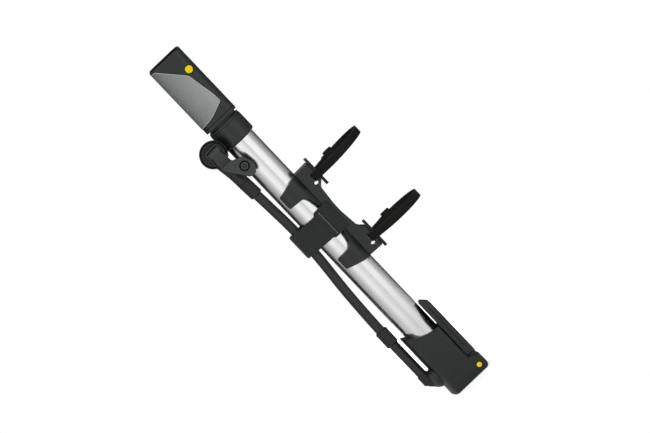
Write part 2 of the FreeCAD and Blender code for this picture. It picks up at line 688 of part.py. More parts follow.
def lever_outline():
    """Front outline of the lever: straight arm, dogleg toward the barrel, round thumb end."""
    left = LEVER_SHIFT - LEVER_HALF
    right = LEVER_SHIFT + LEVER_HALF
    top = VALVE_HEIGHT + CAM_OFFSET + CAM_R + 1
    return [(left, top, 0), (right, top, 0), (right, THUMB_Z + 9.8, 2.5),
            (THUMB_X + 4.7, THUMB_Z + 6.0, 5.0), (THUMB_X + 7.3, THUMB_Z - 5.1, 5.5),
            (THUMB_X + 2.2, THUMB_Z - 10.4, 4.0), (THUMB_X - 3.0, THUMB_Z - 9.4, 4.0),
            (left, THUMB_Z + 9.0, 2.5)]


def lever_side():
    """Side outline of the lever's arm in Y and Z, with a slight lift at the thumb end."""
    back = lever_pin_y() + CAM_R - 0.4
    front = back - LEVER_THICK
    low = THUMB_Z - 12.0
    return [(back, VALVE_HEIGHT, 0), (front, VALVE_HEIGHT, 0), (front, THUMB_Z + 9.0, 12.0),
            (front - 1.2, low, 1.0), (back - 0.6, low, 0.8), (back, THUMB_Z + 11.0, 12.0)]


def thumb_lever():
    pin_y = lever_pin_y()
    arm = plate_xz(lever_outline(), -40, 0).common(plate_yz(lever_side(), -20, 40))
    cam = rod(CAM_R, (LEVER_SHIFT - LEVER_HALF, pin_y, VALVE_HEIGHT + CAM_OFFSET),
              (LEVER_SHIFT + LEVER_HALF, pin_y, VALVE_HEIGHT + CAM_OFFSET))
    hub = rod(CAM_R - 0.4, (LEVER_SHIFT - LEVER_HALF, pin_y, VALVE_HEIGHT),
              (LEVER_SHIFT + LEVER_HALF, pin_y, VALVE_HEIGHT))
    body = arm.fuse([cam, hub])
    tools = [
        rod(LEVER_PIN_R + RUNNING, (-20, pin_y, VALVE_HEIGHT), (20, pin_y, VALVE_HEIGHT)),
        rod(STUD_R + SEAT_GAP, (THUMB_X, -60, THUMB_Z), (THUMB_X, stud_floor(), THUMB_Z)),
    ]
    return head_placed(body.cut(tools))


def stud_floor():
    """Y of the floor of the recess that the stud sits in."""
    return lever_pin_y() + CAM_R - 0.4 - LEVER_THICK * 0.55


def lever_stud():
    """Flush hollow rivet in the thumb end."""
    floor = stud_floor()
    height = LEVER_THICK * 0.45 + 0.6
    stud = turned([(STUD_BORE_R, 0, 0), (STUD_R, 0, 0), (STUD_R, height - 0.5, 0),
                   (STUD_R - 0.5, height, 0), (STUD_BORE_R + 0.5, height, 0),
                   (STUD_BORE_R, height - 0.6, 0)])
    stud.rotate(V(0, 0, 0), V(1, 0, 0), 90)
    stud.translate(V(THUMB_X, floor - SEAT_GAP, THUMB_Z))
    return head_placed(stud)


# ---- top cap ----
def bush_bottom():
    return BARREL_TOP - BUSH_LENGTH


def barrel_cap():
    """Screwed cap over the barrel's top end, with a reduced rim and a bore for the rod."""
    roof = BARREL_TOP + BUSH_FLANGE + SEAT_GAP
    shoulder = CAP_TOP - CAP_STEP
    return turned([
        (BARREL_R + SEAT_GAP, CAP_BOTTOM, 0), (CAP_R, CAP_BOTTOM, CAP_EDGE_R),
        (CAP_R, shoulder, 0), (CAP_R - CAP_STEP_IN, shoulder, 0),
        (CAP_R - CAP_STEP_IN, CAP_TOP, 0.6), (WIPER_R + SEAT_GAP, CAP_TOP, 0),
        (WIPER_R + SEAT_GAP, CAP_TOP - WIPER_HEIGHT, 0), (ROD_R + 0.4, CAP_TOP - WIPER_HEIGHT, 0),
        (ROD_R + 0.4, roof, 0), (BARREL_R + SEAT_GAP, roof, 0)])


def rod_bush():
    """Flanged bush that guides the rod at the barrel's top."""
    flange = BARREL_TOP + SEAT_GAP
    return turned([
        (ROD_R + RUNNING, bush_bottom(), 0.4), (BORE_R - SEAT_GAP, bush_bottom(), 0.6),
        (BORE_R - SEAT_GAP, flange, 0), (BARREL_R - 0.2, flange, 0),
        (BARREL_R - 0.2, flange + BUSH_FLANGE - SEAT_GAP, 0),
        (ROD_R + RUNNING, flange + BUSH_FLANGE - SEAT_GAP, 0)])


def rod_wiper():
    """Wiper ring that keeps grit off the rod."""
    low = CAP_TOP - WIPER_HEIGHT + SEAT_GAP
    high = low + WIPER_HEIGHT - 2 * SEAT_GAP
    return turned([(ROD_R + RUNNING, low + 0.8, 0), (ROD_R + RUNNING + 0.6, low, 0), (WIPER_R, low, 0),
                   (WIPER_R, high, 0), (ROD_R + RUNNING, high, 0)])


def bump_ring():
    """Rubber ring on the cap that the closed handle rests on."""
    low = CAP_TOP + SEAT_GAP
    high = low + BUMPER_HEIGHT - SEAT_GAP
    inner = ROD_R + 1.2
    return turned([(inner, low, 0), (BUMPER_R, low, 0.4), (BUMPER_R, high, 0.4), (inner, high, 0)])


# ---- piston and rod ----
def stroke():
    return bush_bottom() - TOP_MARGIN - PISTON_LENGTH - PISTON_REST


def piston():
    low = PISTON_REST
    high = low + PISTON_LENGTH
    skirt = BORE_R - RUNNING
    body = turned([
        (0, low, 0), (skirt - 0.8, low, 0), (skirt, low + 0.8, 0), (skirt, low + 3.6, 0),
        (skirt - 1.6, low + 4.6, 0), (skirt - 1.6, high - 3.4, 0), (skirt, high - 2.6, 0),
        (skirt, high, 0.4), (ROD_R + SEAT_GAP, high, 0),
        (ROD_R + SEAT_GAP, low + 4.0, 0), (0, low + 4.0, 0)])
    groove = piston_ring(0.1)
    screw_seat = rod(SCREW_HEAD_R + SEAT_GAP, (0, 0, low - 1), (0, 0, low + SCREW_HEAD + SEAT_GAP))
    return body.cut([groove, screw_seat, rod(1.6, (0, 0, low), (0, 0, high))])


def piston_ring(grow=0.0):
    centre = BORE_R - RUNNING / 2 - PISTON_RING_R
    return Part.makeTorus(centre, PISTON_RING_R + grow, V(0, 0, PISTON_REST + 2.1), UP)


def piston_screw():
    """Screw that holds the piston on the rod's lower end."""
    low = PISTON_REST
    head = turned([(0, low, 0), (SCREW_HEAD_R - 0.3, low, 0), (SCREW_HEAD_R, low + 0.3, 0),
                   (SCREW_HEAD_R, low + SCREW_HEAD, 0), (1.5, low + SCREW_HEAD, 0),
                   (1.5, low + 12, 0.3), (0, low + 12, 0)])
    socket = plate_xy([(1.4 * math.cos(a), 1.4 * math.sin(a), 0) for a in
                       [math.radians(60 * i) for i in range(6)]], low - 1, low + 0.9)
    return head.cut(socket)


def piston_rod():
    low = PISTON_REST + 4.0 + SEAT_GAP
    tube = rod(ROD_R, (0, 0, low), (0, 0, ROD_HEAD_TOP))
    plug = low + 11.0
    hollow = rod(ROD_R - ROD_WALL, (0, 0, plug), (0, 0, ROD_HEAD_TOP + 1))
    return tube.cut([hollow, rod(1.55, (0, 0, low - 1), (0, 0, plug))])


def rod_head():
    """Forged eye that joins the rod to the off-centre handle pivot."""
    half = ROD_R
    low = ROD_HEAD_TOP + SEAT_GAP
    eye = rod(EYE_R, (PIVOT_X, -half, PIVOT_Z), (PIVOT_X, half, PIVOT_Z))
    web = plate_xz([
        (-ROD_R, low, 0), (ROD_R, low, 1.5), (PIVOT_X + EYE_R - 0.6, PIVOT_Z - 2.0, 4.0),
        (PIVOT_X, PIVOT_Z + EYE_R - 0.05, 2.0), (PIVOT_X - EYE_R, PIVOT_Z + EYE_R - 1.0, 4.0),
        (-ROD_R, PIVOT_Z - 9.0, 3.0)], -half, half)
    tang = rod(ROD_R - ROD_WALL - SEAT_GAP, (0, 0, low - 14), (0, 0, low + 1))
    bore = rod(PIVOT_R + RUNNING, (PIVOT_X, -half - 1, PIVOT_Z), (PIVOT_X, half + 1, PIVOT_Z))
    return eye.fuse([web, tang]).cut(bore)


# ---- handle ----
def handle_form(grow, low, high, crown=True):
    """The handle's rounded-oblong form between two heights, grown outward by a skin."""
    x = HANDLE_HALF_X + grow
    y = HANDLE_HALF_Y + grow
    r = HANDLE_CORNER_R + grow
    form = plate_xy([(-x, -y, r), (x, -y, r), (x, y, r), (-x, y, r)], low, high)
    if crown:
        top = [e for e in form.Edges if min(v.Z for v in e.Vertexes) > high - 1e-4]
        form = form.makeFillet(HANDLE_EDGE_R, top)
    return form


def rod_slot():
    """Space that the rod and its head sweep when the handle folds, open below and on +X."""
    half = ROD_R + BODY_GAP
    top = PIVOT_Z + EYE_R + BODY_GAP
    return plate_xz([(-ROD_R - BODY_GAP, 0, 0), (FAR, 0, 0), (FAR, top, 0),
                     (-ROD_R - BODY_GAP, top, 6.0)], -half, half)


def heel_relief():
    """Trims the heel beyond the pivot so that it clears the cap as the handle folds."""
    reach = PIVOT_Z - HANDLE_BOTTOM
    keep = rod(reach, (PIVOT_X, -FAR, PIVOT_Z), (PIVOT_X, FAR, PIVOT_Z))
    return block(PIVOT_X, FAR, -FAR, FAR, HANDLE_BOTTOM - 5, HANDLE_BOTTOM + 5).cut(keep)


def palm_region():
    """Side outline of the soft palm pad: a fin that widens toward the lower end."""
    left = -HANDLE_HALF_X - 6
    side, corner, dip, end = (HANDLE_BOTTOM + rise for rise in reversed(PALM_RISE))
    corners = [(left, HANDLE_TOP - 1.4, 0), (3.0 - HANDLE_HALF_X, HANDLE_TOP - 1.4, 2.5),
               (PIVOT_X - 3.7, PIVOT_Z - 3.6, 9.0), (HANDLE_HALF_X - 5.7, side, HANDLE_HALF_X - 1.6),
               (HANDLE_HALF_X - 5.4, corner, 1.8), (-HANDLE_HALF_X / 4, dip, HANDLE_HALF_X * 1.6),
               (left, end, 0)]
    return plate_xz(corners, -FAR, FAR)


def handle_shell():
    low = HANDLE_BOTTOM + COLLAR_HEIGHT
    form = handle_form(0, low, HANDLE_TOP)
    skin = handle_form(2, low - 2, HANDLE_TOP + 2, False)
    skin = skin.cut(handle_form(-PALM_DEPTH, low - 3, HANDLE_TOP + 3, False))
    recess = skin.common(palm_region())
    lip = handle_form(1, low - 1, low + COLLAR_SEAM, False)
    lip = lip.cut(handle_form(-COLLAR_SEAM, low - 1, low + 1, False))
    ring = rod(PIN_RING_R, (PIVOT_X, -FAR, PIVOT_Z), (PIVOT_X, -HANDLE_HALF_Y + 0.5, PIVOT_Z))
    ring_back = rod(PIN_RING_R, (PIVOT_X, FAR, PIVOT_Z), (PIVOT_X, HANDLE_HALF_Y - 0.5, PIVOT_Z))
    bore = rod(PIVOT_R + SEAT_GAP, (PIVOT_X, -FAR, PIVOT_Z), (PIVOT_X, FAR, PIVOT_Z))
    return form.cut([recess, lip, rod_slot(), ring, ring_back, bore])


def handle_collar():
    low = HANDLE_BOTTOM
    form = handle_form(0, low, low + COLLAR_HEIGHT - SEAT_GAP, False)
    return form.cut([rod_slot(), heel_relief()])


def palm_pad():
    low = HANDLE_BOTTOM + COLLAR_HEIGHT
    outer = handle_form(PALM_PROUD, low, HANDLE_TOP)
    inner = handle_form(-PALM_DEPTH, low - 1, HANDLE_TOP + 1, False)
    return outer.cut(inner).common(palm_region())


def handle_pivot():
    half = HANDLE_HALF_Y - 0.5 - SEAT_GAP
    return rod(PIVOT_R, (PIVOT_X, -half, PIVOT_Z), (PIVOT_X, half, PIVOT_Z))


def pin_caps(radius, thick, x, z, half):
    """Coloured domed caps on both ends of a pin."""
    cap = turned([(0, 0, 0), (radius, 0, 0), (radius, thick, 0.4), (radius * 0.45, thick, 0),
                  (radius * 0.35, thick - 0.3, 0), (0, thick - 0.3, 0)])
    back = along_y(cap, x, z)
    back.translate(V(0, half, 0))
    front = back.mirror(V(0, 0, 0), V(0, 1, 0))
    return Part.makeCompound([front, back])


# ---- foot pad ----
def foot_pad():
    """Folding foot: knuckle on the pin, tongue-shaped plate with moulded ribs behind."""
    pin = (FOOT_PIN_X, FOOT_PIN_Z)
    outer = FOOT_PIN_X + FOOT_PIN_Z
    edge = FOOT_CHAMFER
    section = plate_xy([
        (FOOT_INNER, -FOOT_HALF, 0.6), (outer - edge, -FOOT_HALF, 0.5),
        (outer, -FOOT_HALF + edge, 1.0), (outer, FOOT_HALF - edge, 1.0),
        (outer - edge, FOOT_HALF, 0.5), (FOOT_INNER, FOOT_HALF, 0.6)], FOOT_BOTTOM, FOOT_TIP + 1)
    side = plate_xz([
        (FOOT_INNER - 1, FOOT_BOTTOM, 0), (outer + 1, FOOT_BOTTOM, 0), (outer + 1, FOOT_TIP - 18, 0),
        (outer - 0.4, FOOT_TIP - 5.6, 1.5), (FOOT_INNER + 2.0, FOOT_TIP, 0.8),
        (FOOT_INNER - 1, FOOT_TIP - 4.6, 0)], -FAR, FAR)
    front = plate_yz([
        (-FOOT_HALF, FOOT_BOTTOM, 1.5), (FOOT_HALF, FOOT_BOTTOM, 1.5),
        (FOOT_HALF, FOOT_TIP - 17, 14.0), (6.0, FOOT_TIP, 4.0), (-6.0, FOOT_TIP, 4.0),
        (-FOOT_HALF, FOOT_TIP - 17, 14.0)], 0, 40)
    plate = section.common(side).common(front)
    knuckle = rod(KNUCKLE_R, (pin[0], -KNUCKLE_HALF, pin[1]), (pin[0], KNUCKLE_HALF, pin[1]))
    neck = block(FOOT_INNER, FOOT_PIN_X + KNUCKLE_R, -KNUCKLE_HALF, KNUCKLE_HALF,
                 FOOT_PIN_Z, FOOT_BOTTOM + 2)
    pocket = plate_yz([
        (-FOOT_HALF + 2.2, FOOT_BOTTOM + 3, 2.0), (FOOT_HALF - 2.2, FOOT_BOTTOM + 3, 2.0),
        (FOOT_HALF - 2.2, FOOT_TIP - 18, 10.0), (4.5, FOOT_TIP - 3.2, 3.0),
        (-4.5, FOOT_TIP - 3.2, 3.0), (-FOOT_HALF + 2.2, FOOT_TIP - 18, 10.0)],
        FOOT_INNER - 1, FOOT_INNER + FOOT_POCKET)
    span = FOOT_TIP - FOOT_BOTTOM - 8
    ribs = [block(FOOT_INNER - 2, FOOT_INNER + FOOT_POCKET + 1, -FOOT_RIB / 2, FOOT_RIB / 2,
                  FOOT_BOTTOM, FOOT_TIP)]
    for i in range(1, FOOT_RIBS):
        z = FOOT_BOTTOM + 3 + span * i / FOOT_RIBS
        ribs.append(block(FOOT_INNER - 2, FOOT_INNER + FOOT_POCKET + 1, -20, RIDGE_SPAN[0] - 0.4,
                          z, z + FOOT_RIB))
    pocket = pocket.cut(ribs)
    bore = rod(FOOT_PIN_R + RUNNING, (pin[0], -FAR, pin[1]), (pin[0], FAR, pin[1]))
    return plate.fuse([knuckle, neck]).cut([pocket, bore, tread_recess()])


def tread_recess(inset=0.0):
    """Shallow pocket in the pad's outer face for the rubber tread."""
    outer = FOOT_PIN_X + FOOT_PIN_Z
    side = FOOT_HALF - FOOT_CHAMFER - 1.6 - inset
    return plate_yz([(-side, FOOT_BOTTOM + 5 + inset, 1.5), (side, FOOT_BOTTOM + 5 + inset, 1.5),
                     (side, FOOT_TIP - 20 - inset, 6.0), (3.5, FOOT_TIP - 12 - inset, 2.0),
                     (-3.5, FOOT_TIP - 12 - inset, 2.0), (-side, FOOT_TIP - 20 - inset, 6.0)],
                    outer - 1.0 + inset, outer + 2 * (0.5 - inset))


def foot_tread():
    """Rubber tread set into the pad, with cross grooves, flush with its outer face."""
    outer = FOOT_PIN_X + FOOT_PIN_Z
    pad = tread_recess(SEAT_GAP).common(block(0, outer, -FAR, FAR, 0, FAR))
    grooves = []
    z = FOOT_BOTTOM + 8.0
    while z < FOOT_TIP - 16:
        grooves.append(block(outer - 0.5, outer + 2, -FAR, FAR, z, z + 1.0))
        z += 3.4
    return pad.cut(grooves)


def foot_pin():
    half = BASE_HALF - SEAT_GAP
    return rod(FOOT_PIN_R, (FOOT_PIN_X, -half, FOOT_PIN_Z), (FOOT_PIN_X, half, FOOT_PIN_Z))


# ---- frame bracket ----
def tube_axis_x():
    """X of the frame tube's axis, bedded into the saddle pads."""
    return BLOCK_OUTER + SADDLE_THICK - TUBE_SINK + TUBE_R


def saddle_z(index):
    middle = (BLOCK_TOP + BLOCK_BOTTOM) / 2
    return middle + (index - 0.5) * SADDLE_SPACING


def bracket():
    """Spine with two snap arms round the barrel and two blocks toward the frame tube."""
    low, high = ARM_Z
    low_half, high_half = ARM_TIP_HALF
    waist_low = low + low_half + ARM_CURVE
    waist_high = high - high_half - ARM_CURVE
    outline = [
        (ARM_TIP, low - low_half, 1.6), (8.0, BLOCK_BOTTOM + 0.6, 8.0), (BLOCK_OUTER, BLOCK_BOTTOM, 1.0),
        (BLOCK_OUTER, BLOCK_BOTTOM + 19.4, 1.5), (SPINE_OUTER + 1.6, BLOCK_BOTTOM + 23.4, 5.0),
        (SPINE_OUTER, BLOCK_BOTTOM + 40.0, 60.0), (SPINE_OUTER, BLOCK_TOP - 38.0, 60.0),
        (SPINE_OUTER + 1.6, BLOCK_TOP - 21.0, 5.0), (BLOCK_OUTER, BLOCK_TOP - 17.0, 1.5),
        (BLOCK_OUTER, BLOCK_TOP, 1.0), (8.0, BLOCK_TOP - 0.6, 8.0), (ARM_TIP, high + high_half, 1.6),
        (ARM_TIP, high - high_half, 1.6), (7.2, high - high_half - 0.8, 8.0), (SPINE_INNER, waist_high, 25.0),
        (SPINE_INNER, waist_low, 25.0), (7.2, low + low_half + 0.8, 8.0), (ARM_TIP, low + low_half, 1.6)]
    side = plate_xz(outline, -FAR, FAR)
    z0, z1 = BLOCK_BOTTOM - 1, BLOCK_TOP + 1
    ring = rod(ARM_R, (0, 0, z0), (0, 0, z1)).common(block(ARM_TIP - 1, 40, -FAR, FAR, z0, z1))
    spine = plate_xy([(SPINE_INNER - 4, -BRACKET_HALF, 0), (BLOCK_OUTER, -BRACKET_HALF, 0.8),
                      (BLOCK_OUTER, BRACKET_HALF, 0.8), (SPINE_INNER - 4, BRACKET_HALF, 0)], z0, z1)
    mid = block(SPINE_INNER - 2, 40, -BRACKET_HALF, BRACKET_HALF, z0, z1)
    section = ring.fuse(spine)
    waist = block(-40, 40, -FAR, FAR, min(waist_low, STRAP_BOTTOM - BODY_GAP),
                  max(waist_high, STRAP_BOTTOM + STRAP_HEIGHT + BODY_GAP))
    section = section.cut(waist.cut(mid))
    body = section.common(side)
    tools = [rod(BARREL_R + SEAT_GAP, (0, 0, z0), (0, 0, z1)), strap_slot()]
    for z in TIE_Z:
        tools.append(tie_slot(z))
    tools.extend(bracket_pockets())
    return body.cut(tools)


def bracket_pockets():
    """Coring of the spine from the frame side, above and below the strap slot."""
    half = BRACKET_HALF - 2.2
    low = STRAP_BOTTOM - 3.0
    high = STRAP_BOTTOM + STRAP_HEIGHT + 3.0
    floor = BARREL_R + 1.8
    return [block(floor, 40, -half, half, saddle_z(0) + 14.0, low - 1.2),
            block(floor, 40, -half, half, high + 1.2, saddle_z(1) - 14.0)]


def strap_slot():
    gap = 0.15
    return block(STRAP_SLOT_X - gap, STRAP_SLOT_X + STRAP_THICK + SEAT_GAP, -FAR, FAR,
                 STRAP_BOTTOM - gap, STRAP_BOTTOM + STRAP_HEIGHT + gap)


def tie_slot(z):
    """Slot through a block: a channel the tie fits, an open foot, mouths eased toward the tube."""
    tie_low = z - TIE_WIDTH / 2
    low = tie_low - TIE_SLOT_DROP
    high = z + TIE_WIDTH / 2 + 0.8
    right = TIE_SLOT_X + TIE_SLOT_WIDTH
    channel = right - TIE_THICK - 2 * SEAT_GAP
    slot = plate_xz([(TIE_SLOT_X, low, 1.2), (right, low, 1.2), (right, high, 0.6), (channel, high, 0.6),
                     (channel, tie_low + 0.8, 0), (TIE_SLOT_X, tie_low + 0.1, 0.8)], -30, 30)
    ease = 1.2
    for side in (-1, 1):
        y = side * BRACKET_HALF
        mouth = [(right - 0.5, y + side, 0), (right + 3.4, y + side, 0), (right + 3.4, y, 0),
                 (right - 0.5, y - side * ease, 0)]
        slot = slot.fuse(plate_xy(mouth, low + 1, high))
    return slot


def saddle_pad(index):
    """Rubber pad with a shallow bed for the frame tube."""
    z = saddle_z(index)
    low, high = z - SADDLE_HEIGHT / 2, z + SADDLE_HEIGHT / 2
    half = SADDLE_HALF
    pad = plate_yz([(-half, low, 2.0), (half, low, 2.0), (half, high, 2.0), (-half, high, 2.0)],
                   BLOCK_OUTER + SEAT_GAP, BLOCK_OUTER + SADDLE_THICK)
    bed = rod(TUBE_R, (tube_axis_x(), 0, low - 1), (tube_axis_x(), 0, high + 1))
    return pad.cut(bed)


# ---- ties ----
def tie_line():
    """Circles that a tie is pulled round: the frame tube and the two lips of its slot."""
    lip = 0.8
    x = TIE_SLOT_X + TIE_SLOT_WIDTH - SEAT_GAP + lip
    return [(tube_axis_x(), 0, TUBE_R + SEAT_GAP), (x, BRACKET_HALF - lip, lip),
            (x, -BRACKET_HALF + lip, lip)]


def tie(index):
    """Toothed nylon tie: a level band, or one that lies askew, with its lock behind."""
    z = TIE_Z[index]
    reach = 12.0
    outer = belt(tie_line(), TIE_THICK, z - reach, z + reach)
    band = outer.cut(belt(tie_line(), 0, z - reach - 1, z + reach + 1))
    slab = block(-FAR, 2 * FAR, -FAR, FAR, z - TIE_WIDTH / 2, z + TIE_WIDTH / 2)
    pivot = V(TIE_SLOT_X, 0, z)
    slab.rotate(pivot, V(0, 1, 0), -TIE_SKEW[index])
    band = band.common(slab)
    wide, tall, deep = TIE_LOCK
    x = tube_axis_x() - 6.0
    lift = (x - TIE_SLOT_X) * math.tan(math.radians(TIE_SKEW[index]))
    lock = plate_xz([(x - wide / 2, z + lift - tall / 2, 1.2), (x + wide / 2, z + lift - tall / 2, 1.2),
                     (x + wide / 2, z + lift + tall / 2, 1.2), (x - wide / 2, z + lift + tall / 2, 1.2)],
                    0, TUBE_R + TIE_THICK + deep)
    tail = block(x - wide / 2 - 3.0, x, TUBE_R + TIE_THICK + 1.4, TUBE_R + 2 * TIE_THICK + 1.3,
                 z + lift - TIE_WIDTH / 2 + 0.4, z + lift + TIE_WIDTH / 2 - 0.4)
    head = lock.fuse(tail).cut(belt(tie_line(), TIE_THICK * 0.5, z - 30, z + 30))
    return band.fuse(head)


# ---- strap ----
def strap_line():
    """Circles that the strap is pulled round: hose, barrel and the two lips of its slot."""
    lip = 0.6
    slot = STRAP_SLOT_X - lip
    hose_x = route_at(STRAP_BOTTOM + STRAP_HEIGHT / 3)
    return [(slot, BRACKET_HALF, lip), (0, 0, BARREL_R + SEAT_GAP), (hose_x, 0, HOSE_R + 2 * BODY_GAP),
            (0, 0, BARREL_R + SEAT_GAP), (slot, -BRACKET_HALF, lip)]


def flap_limits(inset=0.0):
    """Lower and upper Z of the outer layer, or of a strip narrower by an inset each side."""
    return STRAP_BOTTOM + FLAP_LOW + inset, STRAP_BOTTOM + STRAP_HEIGHT - FLAP_HIGH - inset


def strap_band():
    """Inner layer: a closed loop through the spine's slot, wider from the flap's end to the spine."""
    low, high = STRAP_BOTTOM, STRAP_BOTTOM + STRAP_HEIGHT
    strip_low, strip_high = flap_limits(0.35)
    narrow, wide = FLARE_X
    outer = belt(strap_line(), STRAP_THICK, low, high)
    loop = outer.cut(belt(strap_line(), 0, low - 1, high + 1))
    outline = [(-FAR, strip_low, 0), (narrow, strip_low, 2.0), (wide, low, 2.0), (FAR, low, 0),
               (FAR, high, 0), (wide, high, 2.0), (narrow, strip_high, 2.0), (-FAR, strip_high, 0)]
    return loop.common(plate_xz(outline, -FAR, FAR))


def strap_flap():
    """Outer layer: from the front, round the hose side, to the back of the barrel."""
    low, high = flap_limits()
    inner = STRAP_THICK + SEAT_GAP
    layer = belt(strap_line(), inner + STRAP_THICK, low, high)
    layer = layer.cut(belt(strap_line(), inner, low - 1, high + 1))
    return layer.common(block(-FAR, STRAP_OVERLAP_X, -FAR, FAR, low, high))


def pieces():
    """Every piece by its node name."""
    return {
        "barrel_tube": barrel_tube(),
        "base_housing": base_housing(),
        "barrel_seal": barrel_seal(),
        "check_poppet": check_poppet(),
        "check_spring": check_spring(),
        "hose_elbow": hose_elbow(),
        "elbow_seal": elbow_seal(),
        "hose": hose(),
        "hose_sleeve": hose_sleeve(),
        "hose_ferrule": hose_ferrule(),
        "head_body": head_body(),
        "head_cover": head_cover(),
        "valve_gasket": valve_gasket(),
        "valve_nut": valve_nut(),
        "gasket_plunger": gasket_plunger(),
        "lever_pin": lever_pin(),
        "thumb_lever": thumb_lever(),
        "lever_stud": lever_stud(),
        "barrel_cap": barrel_cap(),
        "rod_bush": rod_bush(),
        "rod_wiper": rod_wiper(),
        "bump_ring": bump_ring(),
        "piston": piston(),
        "piston_ring": piston_ring(),
        "piston_screw": piston_screw(),
        "piston_rod": piston_rod(),
        "rod_head": rod_head(),
        "handle_pivot": handle_pivot(),
        "handle_shell": handle_shell(),
        "handle_collar": handle_collar(),
        "palm_pad": palm_pad(),
        "handle_pin_caps": pin_caps(PIN_CAP_R, PIN_CAP_THICK, PIVOT_X, PIVOT_Z,
                                    HANDLE_HALF_Y - 0.5),
        "foot_pad": foot_pad(),
        "foot_tread": foot_tread(),
        "foot_pin": foot_pin(),
        "foot_pin_caps": pin_caps(FOOT_CAP_R, 0.6, FOOT_PIN_X, FOOT_PIN_Z, BASE_HALF),
        "bracket": bracket(),
        "saddle_pad_lower": saddle_pad(0),
        "saddle_pad_upper": saddle_pad(1),
        "tie_lower": tie(0),
        "tie_upper": tie(1),
        "strap_band": strap_band(),
        "strap_flap": strap_flap(),
    }


def main():
    os.makedirs("parts", exist_ok=True)
    for name, shape in pieces().items():
        if not shape.isValid() or shape.Volume <= 0:
            print("not valid:", name)
        shape.exportStep("parts/%s.step" % name)
        box = shape.BoundBox
        print("%-18s solids %d  x %.2f %.2f  y %.2f %.2f  z %.2f %.2f" % (
            name, len(shape.Solids), box.XMin, box.XMax, box.YMin, box.YMax, box.ZMin, box.ZMax))
    print("stroke %.2f" % stroke())


main()
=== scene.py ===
"""Looks of a bicycle mini pump with a fold-out foot, a strapped hose and a frame bracket.

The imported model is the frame: every piece here is in metres, in its axes. +Z runs up the barrel to
the handle, +X points to the bicycle frame tube, and the studio's camera looks along +Y.
"""
from __future__ import annotations

import json
import logging
import math
from dataclasses import dataclass
from enum import Enum

import bmesh
import bpy
from mathutils import Matrix, Vector

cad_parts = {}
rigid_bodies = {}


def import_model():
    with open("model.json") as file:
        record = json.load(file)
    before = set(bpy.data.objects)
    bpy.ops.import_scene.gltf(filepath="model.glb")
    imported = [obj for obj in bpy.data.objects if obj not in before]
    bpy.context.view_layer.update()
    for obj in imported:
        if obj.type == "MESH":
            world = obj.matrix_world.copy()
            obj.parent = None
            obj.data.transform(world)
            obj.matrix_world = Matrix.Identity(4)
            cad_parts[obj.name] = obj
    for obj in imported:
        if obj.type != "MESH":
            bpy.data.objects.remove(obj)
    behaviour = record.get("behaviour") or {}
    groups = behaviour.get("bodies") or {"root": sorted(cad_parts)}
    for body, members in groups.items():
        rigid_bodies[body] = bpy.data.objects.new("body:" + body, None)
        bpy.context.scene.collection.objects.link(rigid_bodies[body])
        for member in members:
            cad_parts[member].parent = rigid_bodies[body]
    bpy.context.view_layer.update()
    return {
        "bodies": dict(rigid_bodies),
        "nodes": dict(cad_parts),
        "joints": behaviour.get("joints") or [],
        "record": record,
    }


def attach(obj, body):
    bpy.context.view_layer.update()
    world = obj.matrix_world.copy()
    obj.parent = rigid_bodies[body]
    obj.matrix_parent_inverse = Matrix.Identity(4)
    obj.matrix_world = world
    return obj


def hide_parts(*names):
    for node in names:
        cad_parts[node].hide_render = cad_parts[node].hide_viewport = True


LOG = logging.getLogger("mini_pump")
MM = 0.001

Colour = tuple[float, float, float]
Point = tuple[float, float, float]
SurfacePoint = tuple[Vector, Vector]
Socket = bpy.types.NodeSocket


def turns(count: int) -> list[float]:
    """Angles of a full turn in equal steps."""
    return [2 * math.pi * k / count for k in range(count)]


def scaled(colour: Colour, factor: float) -> Colour:
    """A colour made lighter or darker by a factor."""
    return tuple(min(1.0, part * factor) for part in colour)


def blended(first: Colour, second: Colour, share: float) -> Colour:
    """A colour between two others."""
    return tuple(a + (b - a) * share for a, b in zip(first, second))


